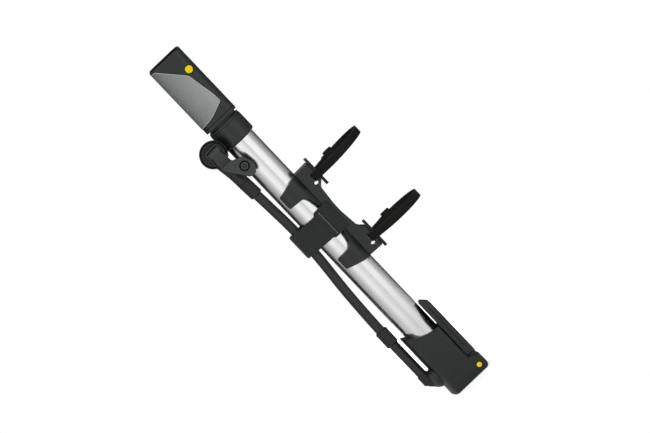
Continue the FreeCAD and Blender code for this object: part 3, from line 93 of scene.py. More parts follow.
class NodeBench:
    """Lays and joins the nodes of a tree, a material's or the world's."""

    def __init__(self, tree: bpy.types.NodeTree) -> None:
        """Takes the tree to work on, with its coordinates.

        Args:
            tree: The node tree.
        """
        self.tree = tree
        self.coords = self.node("TexCoord")
        self.place = self.coords.outputs["Object"]

    def node(self, kind: str, **settings: object) -> bpy.types.Node:
        """Adds a node and sets its properties.

        Args:
            kind: Blender's node type, without the ShaderNode prefix.
            settings: Properties to set on it.

        Returns:
            The new node.
        """
        made = self.tree.nodes.new("ShaderNode" + kind)
        for name, value in settings.items():
            setattr(made, name, value)
        return made

    def join(self, source: Socket, target: Socket) -> None:
        """Links an output to an input."""
        self.tree.links.new(source, target)

    def feed(self, target: Socket, value: Socket | float | Colour) -> None:
        """Links a socket, or sets a plain value, on an input.

        Args:
            target: The input.
            value: An output to link, a number or a colour.
        """
        if isinstance(value, bpy.types.NodeSocket):
            self.join(value, target)
        elif isinstance(value, (int, float)):
            target.default_value = value
        else:
            target.default_value = (*value, 1.0) if len(target.default_value) == 4 else value

    def stretched(self, stretch: Point) -> Socket:
        """Coordinates scaled along each axis, so that a texture runs long or short there.

        Args:
            stretch: The three scales.

        Returns:
            The scaled coordinates.
        """
        mapping = self.node("Mapping")
        self.join(self.place, mapping.inputs["Vector"])
        mapping.inputs["Scale"].default_value = stretch
        return mapping.outputs["Vector"]

    def noise(self, scale: float, detail: float = 4.0, rough: float = 0.55,
              source: Socket | None = None) -> Socket:
        """Noise of so many cells per metre.

        Args:
            scale: Cells per metre.
            detail: Octaves.
            rough: Weight of the finer octaves.
            source: Coordinates, or None for the object's own.

        Returns:
            The noise's value output.
        """
        made = self.node("TexNoise")
        self.join(source or self.place, made.inputs["Vector"])
        for name, value in (("Scale", scale), ("Detail", detail), ("Roughness", rough)):
            made.inputs[name].default_value = value
        return made.outputs["Fac"]

    def cells(self, scale: float) -> Socket:
        """Distance to the nearest of scattered points, for a stipple.

        Args:
            scale: Points per metre.

        Returns:
            The distance.
        """
        made = self.node("TexVoronoi")
        self.join(self.place, made.inputs["Vector"])
        made.inputs["Scale"].default_value = scale
        return made.outputs["Distance"]

    def split(self, source: Socket) -> tuple[Socket, Socket, Socket]:
        """The three parts of a vector.

        Args:
            source: The vector.

        Returns:
            Its X, Y and Z.
        """
        made = self.node("SeparateXYZ")
        self.join(source, made.inputs[0])
        return made.outputs[0], made.outputs[1], made.outputs[2]

    def maths(self, operation: str, first: Socket | float, second: Socket | float = 0.0,
              clamp: bool = False) -> Socket:
        """One arithmetic step between sockets or numbers.

        Args:
            operation: Blender's name of the step.
            first: The first value.
            second: The second value.
            clamp: Whether the result is held between 0 and 1.

        Returns:
            The result.
        """
        made = self.node("Math", operation=operation, use_clamp=clamp)
        self.feed(made.inputs[0], first)
        self.feed(made.inputs[1], second)
        return made.outputs[0]

    def spread(self, value: Socket, low: float, high: float, out_low: float,
               out_high: float) -> Socket:
        """Maps a range of values to another, held at its ends.

        Args:
            value: The value.
            low: Where the first range starts.
            high: Where it ends.
            out_low: Where the second range starts.
            out_high: Where it ends.

        Returns:
            The mapped value.
        """
        made = self.node("MapRange")
        self.feed(made.inputs["Value"], value)
        for name, number in zip(("From Min", "From Max", "To Min", "To Max"),
                                (low, high, out_low, out_high)):
            made.inputs[name].default_value = number
        return made.outputs["Result"]

    def ramp(self, value: Socket, stops: list[tuple[float, Colour]]) -> Socket:
        """Colours along a value.

        Args:
            value: The value, from 0 to 1.
            stops: Places and colours, in order.

        Returns:
            The colour.
        """
        made = self.node("ValToRGB")
        line = made.color_ramp
        while len(line.elements) < len(stops):
            line.elements.new(0.5)
        for element, (place, colour) in zip(line.elements, stops):
            element.position = place
            element.color = (*colour, 1.0)
        self.join(value, made.inputs["Fac"])
        return made.outputs["Color"]

    def mix(self, share: Socket | float, first: Socket | Colour, second: Socket | Colour) -> Socket:
        """A colour between two.

        Args:
            share: How much of the second, from 0 to 1.
            first: One colour.
            second: The other.

        Returns:
            The mixed colour.
        """
        made = self.node("Mix", data_type="RGBA")
        self.feed(made.inputs[0], share)
        self.feed(made.inputs[6], first)
        self.feed(made.inputs[7], second)
        return made.outputs[2]

    def seen_straight(self) -> Socket:
        """1 where the camera looks at it, straight or through something clear, else 0."""
        path = self.node("LightPath")
        return self.maths("MAXIMUM", path.outputs["Is Camera Ray"], path.outputs["Is Transmission Ray"])


class FinishBench(NodeBench):
    """Builds one material on its principled shader."""

    def __init__(self, name: str) -> None:
        """Starts the material.

        Args:
            name: The finish's name.
        """
        self.material = bpy.data.materials.new(name)
        self.material.use_nodes = True
        super().__init__(self.material.node_tree)
        self.shader = self.tree.nodes["Principled BSDF"]

    def rounded_edge(self, radius: float) -> Socket:
        """Normal with every edge eased to a radius.

        Args:
            radius: The radius, in metres.

        Returns:
            The normal.
        """
        made = self.node("Bevel", samples=6)
        made.inputs["Radius"].default_value = radius
        return made.outputs["Normal"]

    def edge_mask(self, radius: float, gain: float) -> Socket:
        """1 on edges and corners, 0 on open faces, from how far the eased normal leans.

        Args:
            radius: How wide an edge counts, in metres.
            gain: How soon the mask reaches 1.

        Returns:
            The mask.
        """
        shape = self.node("NewGeometry")
        lean = self.node("VectorMath", operation="DOT_PRODUCT")
        self.join(self.rounded_edge(radius), lean.inputs[0])
        self.join(shape.outputs["Normal"], lean.inputs[1])
        away = self.maths("SUBTRACT", 1.0, lean.outputs["Value"])
        return self.maths("MULTIPLY", away, gain, clamp=True)

    def bump(self, height: Socket, depth: float, normal: Socket | None = None) -> Socket:
        """Normal with relief, over another normal.

        Args:
            height: The relief, from 0 to 1.
            depth: Its depth, in metres.
            normal: The normal below it, or None for the surface's own.

        Returns:
            The normal.
        """
        made = self.node("Bump")
        self.join(height, made.inputs["Height"])
        made.inputs["Strength"].default_value = 1.0
        made.inputs["Distance"].default_value = depth
        if normal is not None:
            self.join(normal, made.inputs["Normal"])
        return made.outputs["Normal"]

    def finish(self, colour: Socket, roughness: Socket, normal: Socket,
               **constants: float | Colour) -> bpy.types.Material:
        """Joins the textures to the shader and sets its constant values.

        Args:
            colour: Base colour.
            roughness: Roughness.
            normal: Normal.
            constants: Values for other shader sockets, named with underscores.

        Returns:
            The finished material.
        """
        self.join(colour, self.shader.inputs["Base Color"])
        self.join(roughness, self.shader.inputs["Roughness"])
        self.join(normal, self.shader.inputs["Normal"])
        names = {"ior_level": "Specular IOR Level", "tint": "Specular Tint", "metallic": "Metallic",
                 "sheen": "Sheen Weight", "sheen_roughness": "Sheen Roughness",
                 "sheen_tint": "Sheen Tint", "coat": "Coat Weight",
                 "coat_roughness": "Coat Roughness"}
        for name, value in constants.items():
            self.feed(self.shader.inputs[names[name]], value)
        return self.material


@dataclass(frozen=True)
class MouldedPlastic:
    """Hard moulded plastic: fine eroded grain, a satin surface and handled edges."""

    name: str
    colour: Colour
    roughness: float = 0.48
    ior_level: float = 0.34
    grain: float = 1500.0
    depth: float = 0.00002
    edge: float = 0.0003
    wear: float = 0.55
    coat: float = 0.0

    def make(self) -> bpy.types.Material:
        """Builds the material.

        Returns:
            The material.
        """
        bench = FinishBench(self.name)
        cloud = bench.noise(42.0, 3.0)
        grain = bench.noise(self.grain, 2.0, 0.6)
        scuff = bench.noise(230.0, 6.0, 0.7)
        body = bench.ramp(cloud, [(0.3, scaled(self.colour, 0.9)), (0.7, scaled(self.colour, 1.1))])
        speck = bench.ramp(grain, [(0.35, scaled(self.colour, 0.86)),
                                   (0.65, scaled(self.colour, 1.14))])
        body = bench.mix(0.45, body, speck)
        handled = bench.maths("MULTIPLY", bench.edge_mask(self.edge * 2.2, 1.5),
                              bench.spread(scuff, 0.35, 0.65, self.wear * 0.35, self.wear))
        body = bench.mix(handled, body, scaled(blended(self.colour, (0.2, 0.2, 0.2), 0.16), 2.0))
        gloss = bench.spread(scuff, 0.3, 0.7, self.roughness - 0.05, self.roughness + 0.06)
        normal = bench.bump(grain, self.depth, bench.rounded_edge(self.edge))
        return bench.finish(body, gloss, normal, ior_level=self.ior_level, coat=self.coat,
                            coat_roughness=0.3)


@dataclass(frozen=True)
class DrawnMetal:
    """Drawn or turned metal: bright, with fine lines along or round the piece."""

    name: str
    colour: Colour
    roughness: float = 0.2
    lines: Point = (1400.0, 1400.0, 14.0)
    depth: float = 0.0000012
    grazing: Colour = (0.75, 0.75, 0.76)

    def make(self) -> bpy.types.Material:
        """Builds the material.

        Returns:
            The material.
        """
        bench = FinishBench(self.name)
        along = bench.stretched(self.lines)
        streak = bench.noise(1.0, 3.0, 0.6, along)
        smudge = bench.noise(38.0, 4.0, 0.6)
        pits = bench.noise(2600.0, 2.0, 0.5)
        body = bench.ramp(streak, [(0.3, scaled(self.colour, 0.955)), (0.7, self.colour)])
        body = bench.mix(bench.spread(smudge, 0.45, 0.8, 0.0, 0.3), body, scaled(self.colour, 0.9))
        gloss = bench.maths("ADD", bench.spread(streak, 0.3, 0.7, self.roughness - 0.03,
                                                self.roughness + 0.04),
                            bench.spread(smudge, 0.4, 0.75, 0.0, 0.05))
        relief = bench.maths("ADD", streak, bench.maths("MULTIPLY", pits, 0.25))
        normal = bench.bump(relief, self.depth, bench.rounded_edge(0.0002))
        return bench.finish(body, gloss, normal, metallic=1.0, tint=self.grazing)


@dataclass(frozen=True)
class SoftRubber:
    """Rubber: dull, faintly dusty, with a fine stipple and a paler rim along its edges, a painted highlight.

    With a painted side shade it gets darker toward -X by that share: painted shade on the side that gets
    less light.
    """

    name: str
    colour: Colour
    roughness: float = 0.68
    ior_level: float = 0.3
    stipple: float = 1100.0
    depth: float = 0.00004
    rim: float = 0.25
    highlight_width: float = 0.0005
    sheen: float = 0.05
    painted_side_shade: float = 0.0

    def make(self) -> bpy.types.Material:
        """Builds the material.

        Returns:
            The material.
        """
        bench = FinishBench(self.name)
        cloud = bench.noise(60.0, 4.0)
        stipple = bench.cells(self.stipple)
        dust = bench.noise(420.0, 5.0, 0.7)
        body = bench.ramp(cloud, [(0.3, scaled(self.colour, 0.93)), (0.7, scaled(self.colour, 1.07))])
        body = bench.mix(bench.spread(dust, 0.5, 0.75, 0.0, 0.35), body, scaled(self.colour, 1.18))
        # Painted shade: the colour darkens toward -X, the side that gets less light.
        if self.painted_side_shade:
            across = bench.spread(bench.split(bench.place)[0], -15 * MM, 6 * MM, 0.0, 1.0)
            body = bench.mix(bench.maths("SUBTRACT", 1.0, across), body,
                             scaled(self.colour, 1.0 - self.painted_side_shade))
        # Painted highlight: the colour is lifted toward pale grey along the edges, by the share rim.
        edge_highlight = bench.maths("MULTIPLY", bench.edge_mask(self.highlight_width, 2.6), self.rim)
        body = bench.mix(edge_highlight, body, blended(self.colour, (0.62, 0.64, 0.63), 0.55))
        gloss = bench.spread(dust, 0.3, 0.7, self.roughness - 0.06, self.roughness + 0.06)
        normal = bench.bump(stipple, self.depth, bench.rounded_edge(0.00025))
        return bench.finish(body, gloss, normal, ior_level=self.ior_level, sheen=self.sheen,
                            sheen_roughness=0.5)


@dataclass(frozen=True)
class LoopPile:
    """Hook-and-loop webbing: a woven ground under a short crushed pile."""

    name: str
    colour: Colour
    pitch: float = 0.00062
    depth: float = 0.00012
    sheen: float = 0.25

    def make(self) -> bpy.types.Material:
        """Builds the material from the strap's own length and width coordinates.

        Returns:
            The material.
        """
        bench = FinishBench(self.name)
        along, across, _ = bench.split(bench.coords.outputs["UV"])
        per_metre = 2.0 * math.pi / self.pitch
        warp = bench.maths("SINE", bench.maths("MULTIPLY", along, per_metre))
        weft = bench.maths("SINE", bench.maths("MULTIPLY", across, per_metre))
        ground = bench.maths("MULTIPLY", warp, weft)
        pile = bench.noise(2100.0, 5.0, 0.75)
        worn = bench.noise(160.0, 4.0, 0.6)
        height = bench.maths("ADD", bench.maths("MULTIPLY", ground, 0.3), pile)
        body = bench.ramp(pile, [(0.32, scaled(self.colour, 0.72)), (0.5, self.colour),
                                 (0.7, scaled(self.colour, 1.45))])
        body = bench.mix(bench.spread(worn, 0.45, 0.75, 0.0, 0.4), body, scaled(self.colour, 1.35))
        gloss = bench.spread(pile, 0.3, 0.7, 0.95, 0.78)
        normal = bench.bump(height, self.depth)
        return bench.finish(body, gloss, normal, ior_level=0.2, sheen=self.sheen,
                            sheen_roughness=0.45, sheen_tint=(0.55, 0.57, 0.56))


class Look(Enum):
    """The finishes on this pump."""

    SHELL = MouldedPlastic("shell_plastic", (0.0055, 0.0085, 0.0073), 0.33, 0.61, wear=0.15)
    BRACKET = MouldedPlastic("bracket_plastic", (0.0055, 0.008, 0.007), 0.34, 0.59, grain=1250.0, wear=0.2)
    LEVER = MouldedPlastic("lever_plastic", (0.026, 0.0305, 0.0285), 0.38, 0.62, wear=0.5)
    FITTING = MouldedPlastic("fitting_plastic", (0.0085, 0.0095, 0.009), 0.4, 0.5, wear=0.25)
    ACETAL = MouldedPlastic("acetal", (0.62, 0.61, 0.56), 0.35, 0.45, 900.0, 0.000008, wear=0.1)
    YELLOW = MouldedPlastic("yellow_plastic", (1.0, 0.72, 0.002), 0.34, 0.3, 900.0, 0.000006,
                            wear=0.05, coat=0.1)
    NYLON = MouldedPlastic("tie_nylon", (0.0095, 0.0105, 0.009), 0.4, 0.1, 700.0, 0.00001, wear=0.4)
    BARREL = DrawnMetal("polished_aluminium", (0.97, 0.97, 0.975), 0.21, grazing=(0.3, 0.3, 0.31))
    ROD = DrawnMetal("rod_aluminium", (0.8, 0.8, 0.81), 0.17)
    FORGED = DrawnMetal("forged_alloy", (0.62, 0.62, 0.63), 0.38, (420.0, 420.0, 420.0), 0.000008)
    STEEL = DrawnMetal("satin_steel", (0.56, 0.56, 0.57), 0.28, (900.0, 60.0, 900.0))
    DARK_STEEL = DrawnMetal("blackened_steel", (0.12, 0.125, 0.125), 0.36, (500.0, 60.0, 500.0))
    HOSE = SoftRubber("hose_rubber", (0.012, 0.0132, 0.0128), 0.42, 0.55, 1500.0, 0.00002, 0.05, sheen=0.0)
    RUBBER = SoftRubber("black_rubber", (0.019, 0.021, 0.02), 0.74)
    # Grey grip: a strong painted edge highlight, and painted shade toward -X by its last value.
    GRIP = SoftRubber("grey_grip", (0.355, 0.377, 0.372), 0.75, 0.12, 900.0, 0.00005, 0.8, 0.0007, 0.0, 0.5)
    STRAP = LoopPile("strap_pile", (0.029, 0.033, 0.0315))
    # Pale copy of the strap's pile for the flap's cut ends: a painted highlight.
    STRAP_EDGE_HIGHLIGHT = LoopPile("strap_edge_highlight", (0.34, 0.355, 0.35), 0.0005, 0.00006)
    # Lighter copy of the grip rubber: a painted highlight on the pad's edge and on its dots.
    GRIP_HIGHLIGHT = SoftRubber("grip_painted_highlight", (0.46, 0.48, 0.475), 0.6, 0.3, 1400.0, 0.00002, 0.3)
    # Near-black finish for the beads that paint shade into grooves, gaps, recesses and round pins.
    PAINTED_SHADE = SoftRubber("painted_groove_shade", (0.004, 0.004, 0.004), 0.85, 0.1, 1400.0, 0.00002, 0.0, sheen=0.0)
    THREAD = LoopPile("strap_thread", (0.03, 0.033, 0.032), 0.0003, 0.00003, 0.15)


class Palette:
    """Keeps one material for each finish."""

    def __init__(self) -> None:
        """Starts with no material made."""
        self.made: dict[Look, bpy.types.Material] = {}

    def material(self, look: Look) -> bpy.types.Material:
        """The material of a finish, made when it is first asked for.

        Args:
            look: The finish.

        Returns:
            Its material.
        """
        if look not in self.made:
            self.made[look] = look.value.make()
        return self.made[look]

    def dress(self, piece: bpy.types.Object, look: Look) -> None:
        """Gives a piece or a CAD node one finish all over, by its object's material slots.

        Args:
            piece: The piece or node.
            look: Its finish.
        """
        if not piece.material_slots:
            piece.data.materials.append(None)
        for slot in piece.material_slots:
            slot.link = "OBJECT"
            slot.material = self.material(look)


@dataclass
class Bench:
    """What every sub-assembly works with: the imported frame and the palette."""

    frame: dict
    palette: Palette

    def node(self, name: str) -> bpy.types.Object:
        """A CAD node's object."""
        return self.frame["nodes"][name]

    def dress(self, looks: dict[str, Look]) -> None:
        """Dresses CAD nodes.

        Args:
            looks: The finish of each node, by its name.
        """
        for name, look in looks.items():
            self.palette.dress(self.node(name), look)
            LOG.info("dressed %s", name)

    def place(self, piece: bpy.types.Object, look: Look, body: str,
              slot: str = "black_plastic") -> bpy.types.Object:
        """Links a new piece, dresses it and hangs it on its body.

        Args:
            piece: The new piece.
            look: Its finish.
            body: The CAD body it moves with.
            slot: The record's material slot; not used.

        Returns:
            The same piece.
        """
        bpy.context.scene.collection.objects.link(piece)
        self.palette.dress(piece, look)
        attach(piece, body)
        LOG.info("built %s on %s", piece.name, body)
        return piece


def mesh_piece(name: str, shape: bmesh.types.BMesh, smooth: bool = True) -> bpy.types.Object:
    """Turns a bmesh into an object with outward faces.

    Args:
        name: The piece's name.
        shape: The mesh, in metres.
        smooth: Whether its faces shade smooth.

    Returns:
        The object, not yet linked to the scene.
    """
    bmesh.ops.recalc_face_normals(shape, faces=shape.faces)
    for face in shape.faces:
        face.smooth = smooth
    data = bpy.data.meshes.new(name)
    shape.to_mesh(data)
    shape.free()
    return bpy.data.objects.new(name, data)


def swept(rings: list[list[Vector]], closed: bool) -> bmesh.types.BMesh:
    """Skin over a row of closed sections, with coordinates along and round it.

    Args:
        rings: Sections with equal numbers of points.
        closed: Whether the last section joins the first; otherwise both ends get a face.

    Returns:
        The mesh, with a UV layer that holds metres along the row and round the section.
    """
    shape = bmesh.new()
    rows = [[shape.verts.new(point) for point in ring] for ring in rings]
    layer = shape.loops.layers.uv.new("cloth")
    along = [0.0]
    for before, after in zip(rings, rings[1:] + rings[:1]):
        middle = sum(before, Vector()) / len(before)
        ahead = sum(after, Vector()) / len(after)
        along.append(along[-1] + (ahead - middle).length)
    count = len(rings[0])
    around = [0.0]
    for index in range(count):
        around.append(around[-1] + (rings[0][(index + 1) % count] - rings[0][index]).length)
    last = len(rows) if closed else len(rows) - 1
    for row in range(last):
        after = rows[(row + 1) % len(rows)]
        for index in range(count):
            nearby = (index + 1) % count
            face = shape.faces.new((rows[row][index], rows[row][nearby], after[nearby], after[index]))
            corners = ((row, index), (row, index + 1), (row + 1, index + 1), (row + 1, index))
            for loop, (step, turn) in zip(face.loops, corners):
                loop[layer].uv = (along[step], around[turn])
    if not closed:
        shape.faces.new(rows[0][::-1])
        shape.faces.new(rows[-1])
    return shape


def rounded_line(corners: list[Point], steps: int = 8) -> list[tuple[float, float]]:
    """Points of an open line whose inner corners are rounded by tangent arcs.

    Args:
        corners: Corners as (a, b, radius); the first and last radius are unused.
        steps: Parts of each arc.

    Returns:
        Points (a, b) along the line.
    """
    points = [Vector(corners[0][:2])]
    for before, here, after in zip(corners, corners[1:], corners[2:]):
        corner = Vector(here[:2])
        back = (Vector(before[:2]) - corner).normalized()
        ahead = (Vector(after[:2]) - corner).normalized()
        half = back.angle(ahead) / 2
        reach = here[2] / math.tan(half)
        inward = (back + ahead).normalized()
        centre = corner + inward * (here[2] / math.sin(half))
        start, end = corner + back * reach - centre, corner + ahead * reach - centre
        for step in range(steps + 1):
            spoke = start.lerp(end, step / steps).normalized() * here[2]
            points.append(centre + spoke)
    points.append(Vector(corners[-1][:2]))
    return [(point.x, point.y) for point in points]


def bead(line: list[SurfacePoint], radius: float, closed: bool, aside: float = 0.0) -> bmesh.types.BMesh:
    """Round bead laid along a line on a surface.

    Args:
        line: Points, each with the surface's outward direction there.
        radius: The bead's radius.
        closed: Whether the line joins up.
        aside: How far it is moved sideways on the surface.

    Returns:
        The mesh.
    """
    rings = []
    count = len(line)
    for index, (point, out) in enumerate(line):
        after = line[(index + 1) % count if closed else min(index + 1, count - 1)][0]
        before = line[index - 1 if closed else max(index - 1, 0)][0]
        across = (after - before).cross(out).normalized()
        rings.append([point + across * aside + (out * math.cos(a) + across * math.sin(a)) * radius
                      for a in turns(8)])
    return swept(rings, closed)


def joined(shapes: list[bmesh.types.BMesh]) -> bmesh.types.BMesh:
    """One mesh out of several, which are freed.

    Args:
        shapes: The meshes.

    Returns:
        The joined mesh.
    """
    whole = bmesh.new()
    for shape in shapes:
        data = bpy.data.meshes.new("part")
        shape.to_mesh(data)
        shape.free()
        whole.from_mesh(data)
        bpy.data.meshes.remove(data)
    return whole


def pin_shade_ring(pin: Point, half: float, radius: float) -> bmesh.types.BMesh:
    """Ring of painted shade round a pin's caps, on the front and the back wall.

    Args:
        pin: The pin's middle.
        half: How far the walls lie from the middle plane.
        radius: The ring's radius.

    Returns:
        The mesh.
    """
    rings = []
    for side in (-1, 1):
        out = Vector((0.0, side, 0.0))
        rings.append(bead([(Vector(pin) + out * half + radius * Vector((math.cos(a), 0.0, math.sin(a))), out)
                           for a in turns(48)], 0.3 * MM, True))
    return joined(rings)


@dataclass
class Studio:
    """Pale floor, even soft light and a camera turned with the bicycle's frame tube."""

    target: Point = (0.0072, 0.0, 0.1729)
    distance: float = 6.0
    elevation: float = math.radians(6.0)
    lens: float = 423.3
    roll: tuple[float, float] = (0.7252, 0.6885)
    ambient: Colour = (0.08, 0.08, 0.0805)
    surround: tuple[tuple[float, float], ...] = (
        (-180, 0.5), (-138, 0.08), (-95, 0.3), (-60, 0.58), (-32, 0.97), (-8, 0.85), (14, 0.62),
        (28, 1.0), (60, 0.93), (80, 0.5), (112, 0.26), (148, 0.08))
    lamps: tuple[tuple[str, Point, float, float], ...] = (
        ("lamp_front_left", (-0.5, -2.35, 1.2), 1.1, 34.0),
        ("lamp_front_right", (0.35, -2.4, 0.8), 1.1, 11.0),
        ("lamp_back_left", (-0.7, 2.3, 1.2), 1.1, 21.0),
        ("lamp_back_right", (0.7, 2.3, 1.0), 1.1, 21.0),
        ("lamp_top", (0.0, -0.2, 2.4), 1.6, 5.0))
    floor_radius: float = 0.62
    floor_drop: float = 0.4 * MM
    floor_glow: tuple[float, float, float, float] = (0.05, 0.3, 0.6, 1.0)

    def camera(self) -> None:
        """Sets the camera level with the pump's front, leaning over as the frame tube does."""
        ahead = Vector((0.0, math.cos(self.elevation), -math.sin(self.elevation)))
        upward = Vector((0.0, math.sin(self.elevation), math.cos(self.elevation)))
        side = Vector((1.0, 0.0, 0.0))
        roll_cos, roll_sin = self.roll
        right = side * roll_cos - upward * roll_sin
        above = side * roll_sin + upward * roll_cos
        turn = Matrix((right, above, -ahead)).transposed().to_4x4()
        data = bpy.data.cameras.new("studio_camera")
        data.lens = self.lens
        data.sensor_width = 36.0
        data.clip_start = 0.05
        data.clip_end = 40.0
        eye = bpy.data.objects.new("studio_camera", data)
        eye.matrix_world = Matrix.Translation(Vector(self.target) - ahead * self.distance) @ turn
        bpy.context.scene.collection.objects.link(eye)
        bpy.context.scene.camera = eye

    def lamp(self, name: str, place: Point, size: float, power: float) -> None:
        """Adds a large soft lamp aimed at the pump.

        Args:
            name: The lamp's name.
            place: Where it stands, in metres.
            size: Edge of its square face, in metres.
            power: Watts.
        """
        data = bpy.data.lights.new(name, "AREA")
        data.shape = "SQUARE"
        data.size = size
        data.energy = power
        lamp = bpy.data.objects.new(name, data)
        lamp.location = place
        aim = Vector(self.target) - Vector(place)
        lamp.rotation_euler = aim.to_track_quat("-Z", "Y").to_euler()
        lamp.visible_glossy = False
        bpy.context.scene.collection.objects.link(lamp)

    def world(self) -> None:
        """White behind the pump, dimmer as plain light, and banded round it for polished metal."""
        world = bpy.data.worlds.new("studio_world")
        world.use_nodes = True
        bpy.context.scene.world = world
        bench = NodeBench(world.node_tree)
        across, ahead, _ = bench.split(bench.coords.outputs["Generated"])
        turn = bench.maths("ARCTAN2", across, bench.maths("MULTIPLY", ahead, -1.0))
        share = bench.spread(turn, -math.pi, math.pi, 0.0, 1.0)
        mirrored = bench.ramp(share, [((degrees + 180) / 360, (level, level, level))
                                      for degrees, level in self.surround])
        path = bench.node("LightPath")
        lit = bench.mix(path.outputs["Is Glossy Ray"], self.ambient, mirrored)
        back = bench.tree.nodes["Background"]
        bench.join(bench.mix(bench.seen_straight(), lit, (1.0, 1.0, 1.0)), back.inputs["Color"])
        back.inputs["Strength"].default_value = 1.0

    def floor(self) -> None:
        """Pale floor under the pump, which reads as white and keeps the soft shadow."""
        shape = bmesh.new()
        bmesh.ops.create_circle(shape, cap_ends=True, segments=96, radius=self.floor_radius)
        floor = mesh_piece("studio_floor", shape, False)
        floor.location.z = -self.floor_drop
        bench = FinishBench("pale_floor")
        sockets = bench.shader.inputs
        for name, value in (("Base Color", (0.9, 0.9, 0.9)), ("Roughness", 0.9),
                            ("Specular IOR Level", 0.0), ("Emission Color", (1.0, 1.0, 1.0))):
            bench.feed(sockets[name], value)
        away = bench.node("VectorMath", operation="LENGTH")
        bench.join(bench.place, away.inputs[0])
        glow = bench.spread(away.outputs["Value"], *self.floor_glow)
        bench.join(bench.maths("MULTIPLY", bench.seen_straight(), glow), sockets["Emission Strength"])
        floor.data.materials.append(bench.material)
        bpy.context.scene.collection.objects.link(floor)

    def light(self) -> None:
        """Sets the world, the floor and five large lamps, in front, behind and above."""
        bpy.context.scene.view_settings.view_transform = "Standard"
        self.world()
        self.floor()
        for lamp in self.lamps:
            self.lamp(*lamp)


@dataclass
class Hose:
    """Air hose from the elbow's socket up to the pump head."""

    diameter: float = 7.8 * MM
    length: float = 208.4 * MM
    route: tuple[tuple[float, float], ...] = (
        (-23.1, 22.0), (-23.1, 41.9), (-23.3, 67.8), (-22.6, 96.6), (-21.2, 123.5), (-19.0, 146.4),
        (-17.9, 167.3), (-18.0, 187.2), (-19.0, 206.1), (-19.9, 222.0), (-20.4, 230.2))

    def build(self, bench: Bench) -> None:
        """Lays the hose as one smooth line and dresses the pieces on it.

        Args:
            bench: The frame and the palette.
        """
        data = bpy.data.curves.new("hose_line", "CURVE")
        data.dimensions = "3D"
        line = data.splines.new("NURBS")
        line.points.add(len(self.route) - 1)
        for point, (x, z) in zip(line.points, self.route):
            point.co = (x * MM, 0.0, z * MM, 1.0)
        line.order_u = 3
        line.use_endpoint_u = True
        line.resolution_u = 16
        data.bevel_depth = self.diameter / 2
        data.bevel_resolution = 10
        data.use_fill_caps = True
        hose = bench.place(bpy.data.objects.new("hose_line", data), Look.HOSE, "pump", "hose_rubber")
        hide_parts("hose")
        bench.node("hose_ferrule")
        bench.node("hose_sleeve")
        bench.dress({"hose_elbow": Look.FITTING, "elbow_seal": Look.RUBBER,
                     "hose_sleeve": Look.FITTING, "hose_ferrule": Look.FITTING})


@dataclass
class Barrel:
    """Polished barrel with its cap, bush, piston and rod."""

    shade_radius: float = 14.73 * MM
    shade_height: float = 279.75 * MM
    shade_bead: float = 0.17 * MM

    def build(self, bench: Bench) -> None:
        """Dresses the barrel's pieces and what moves in it, and adds a line of painted shade under the cap's
        rim.

        Args:
            bench: The frame and the palette.
        """
        bench.dress({
            "barrel_tube": Look.BARREL, "barrel_seal": Look.RUBBER, "barrel_cap": Look.SHELL,
            "rod_bush": Look.ACETAL, "rod_wiper": Look.RUBBER, "bump_ring": Look.FITTING,
            "piston": Look.ACETAL, "piston_ring": Look.RUBBER, "piston_screw": Look.STEEL,
            "piston_rod": Look.ROD, "rod_head": Look.FORGED})
        # Near-black ring under the cap's rim: painted shade in the cap's step.
        outward = [Vector((math.cos(a), math.sin(a), 0.0)) for a in turns(96)]
        line = [(out * self.shade_radius + Vector((0.0, 0.0, self.shade_height)), out) for out in outward]
        bench.place(mesh_piece("cap_step_shade", bead(line, self.shade_bead, True)), Look.PAINTED_SHADE, "pump")


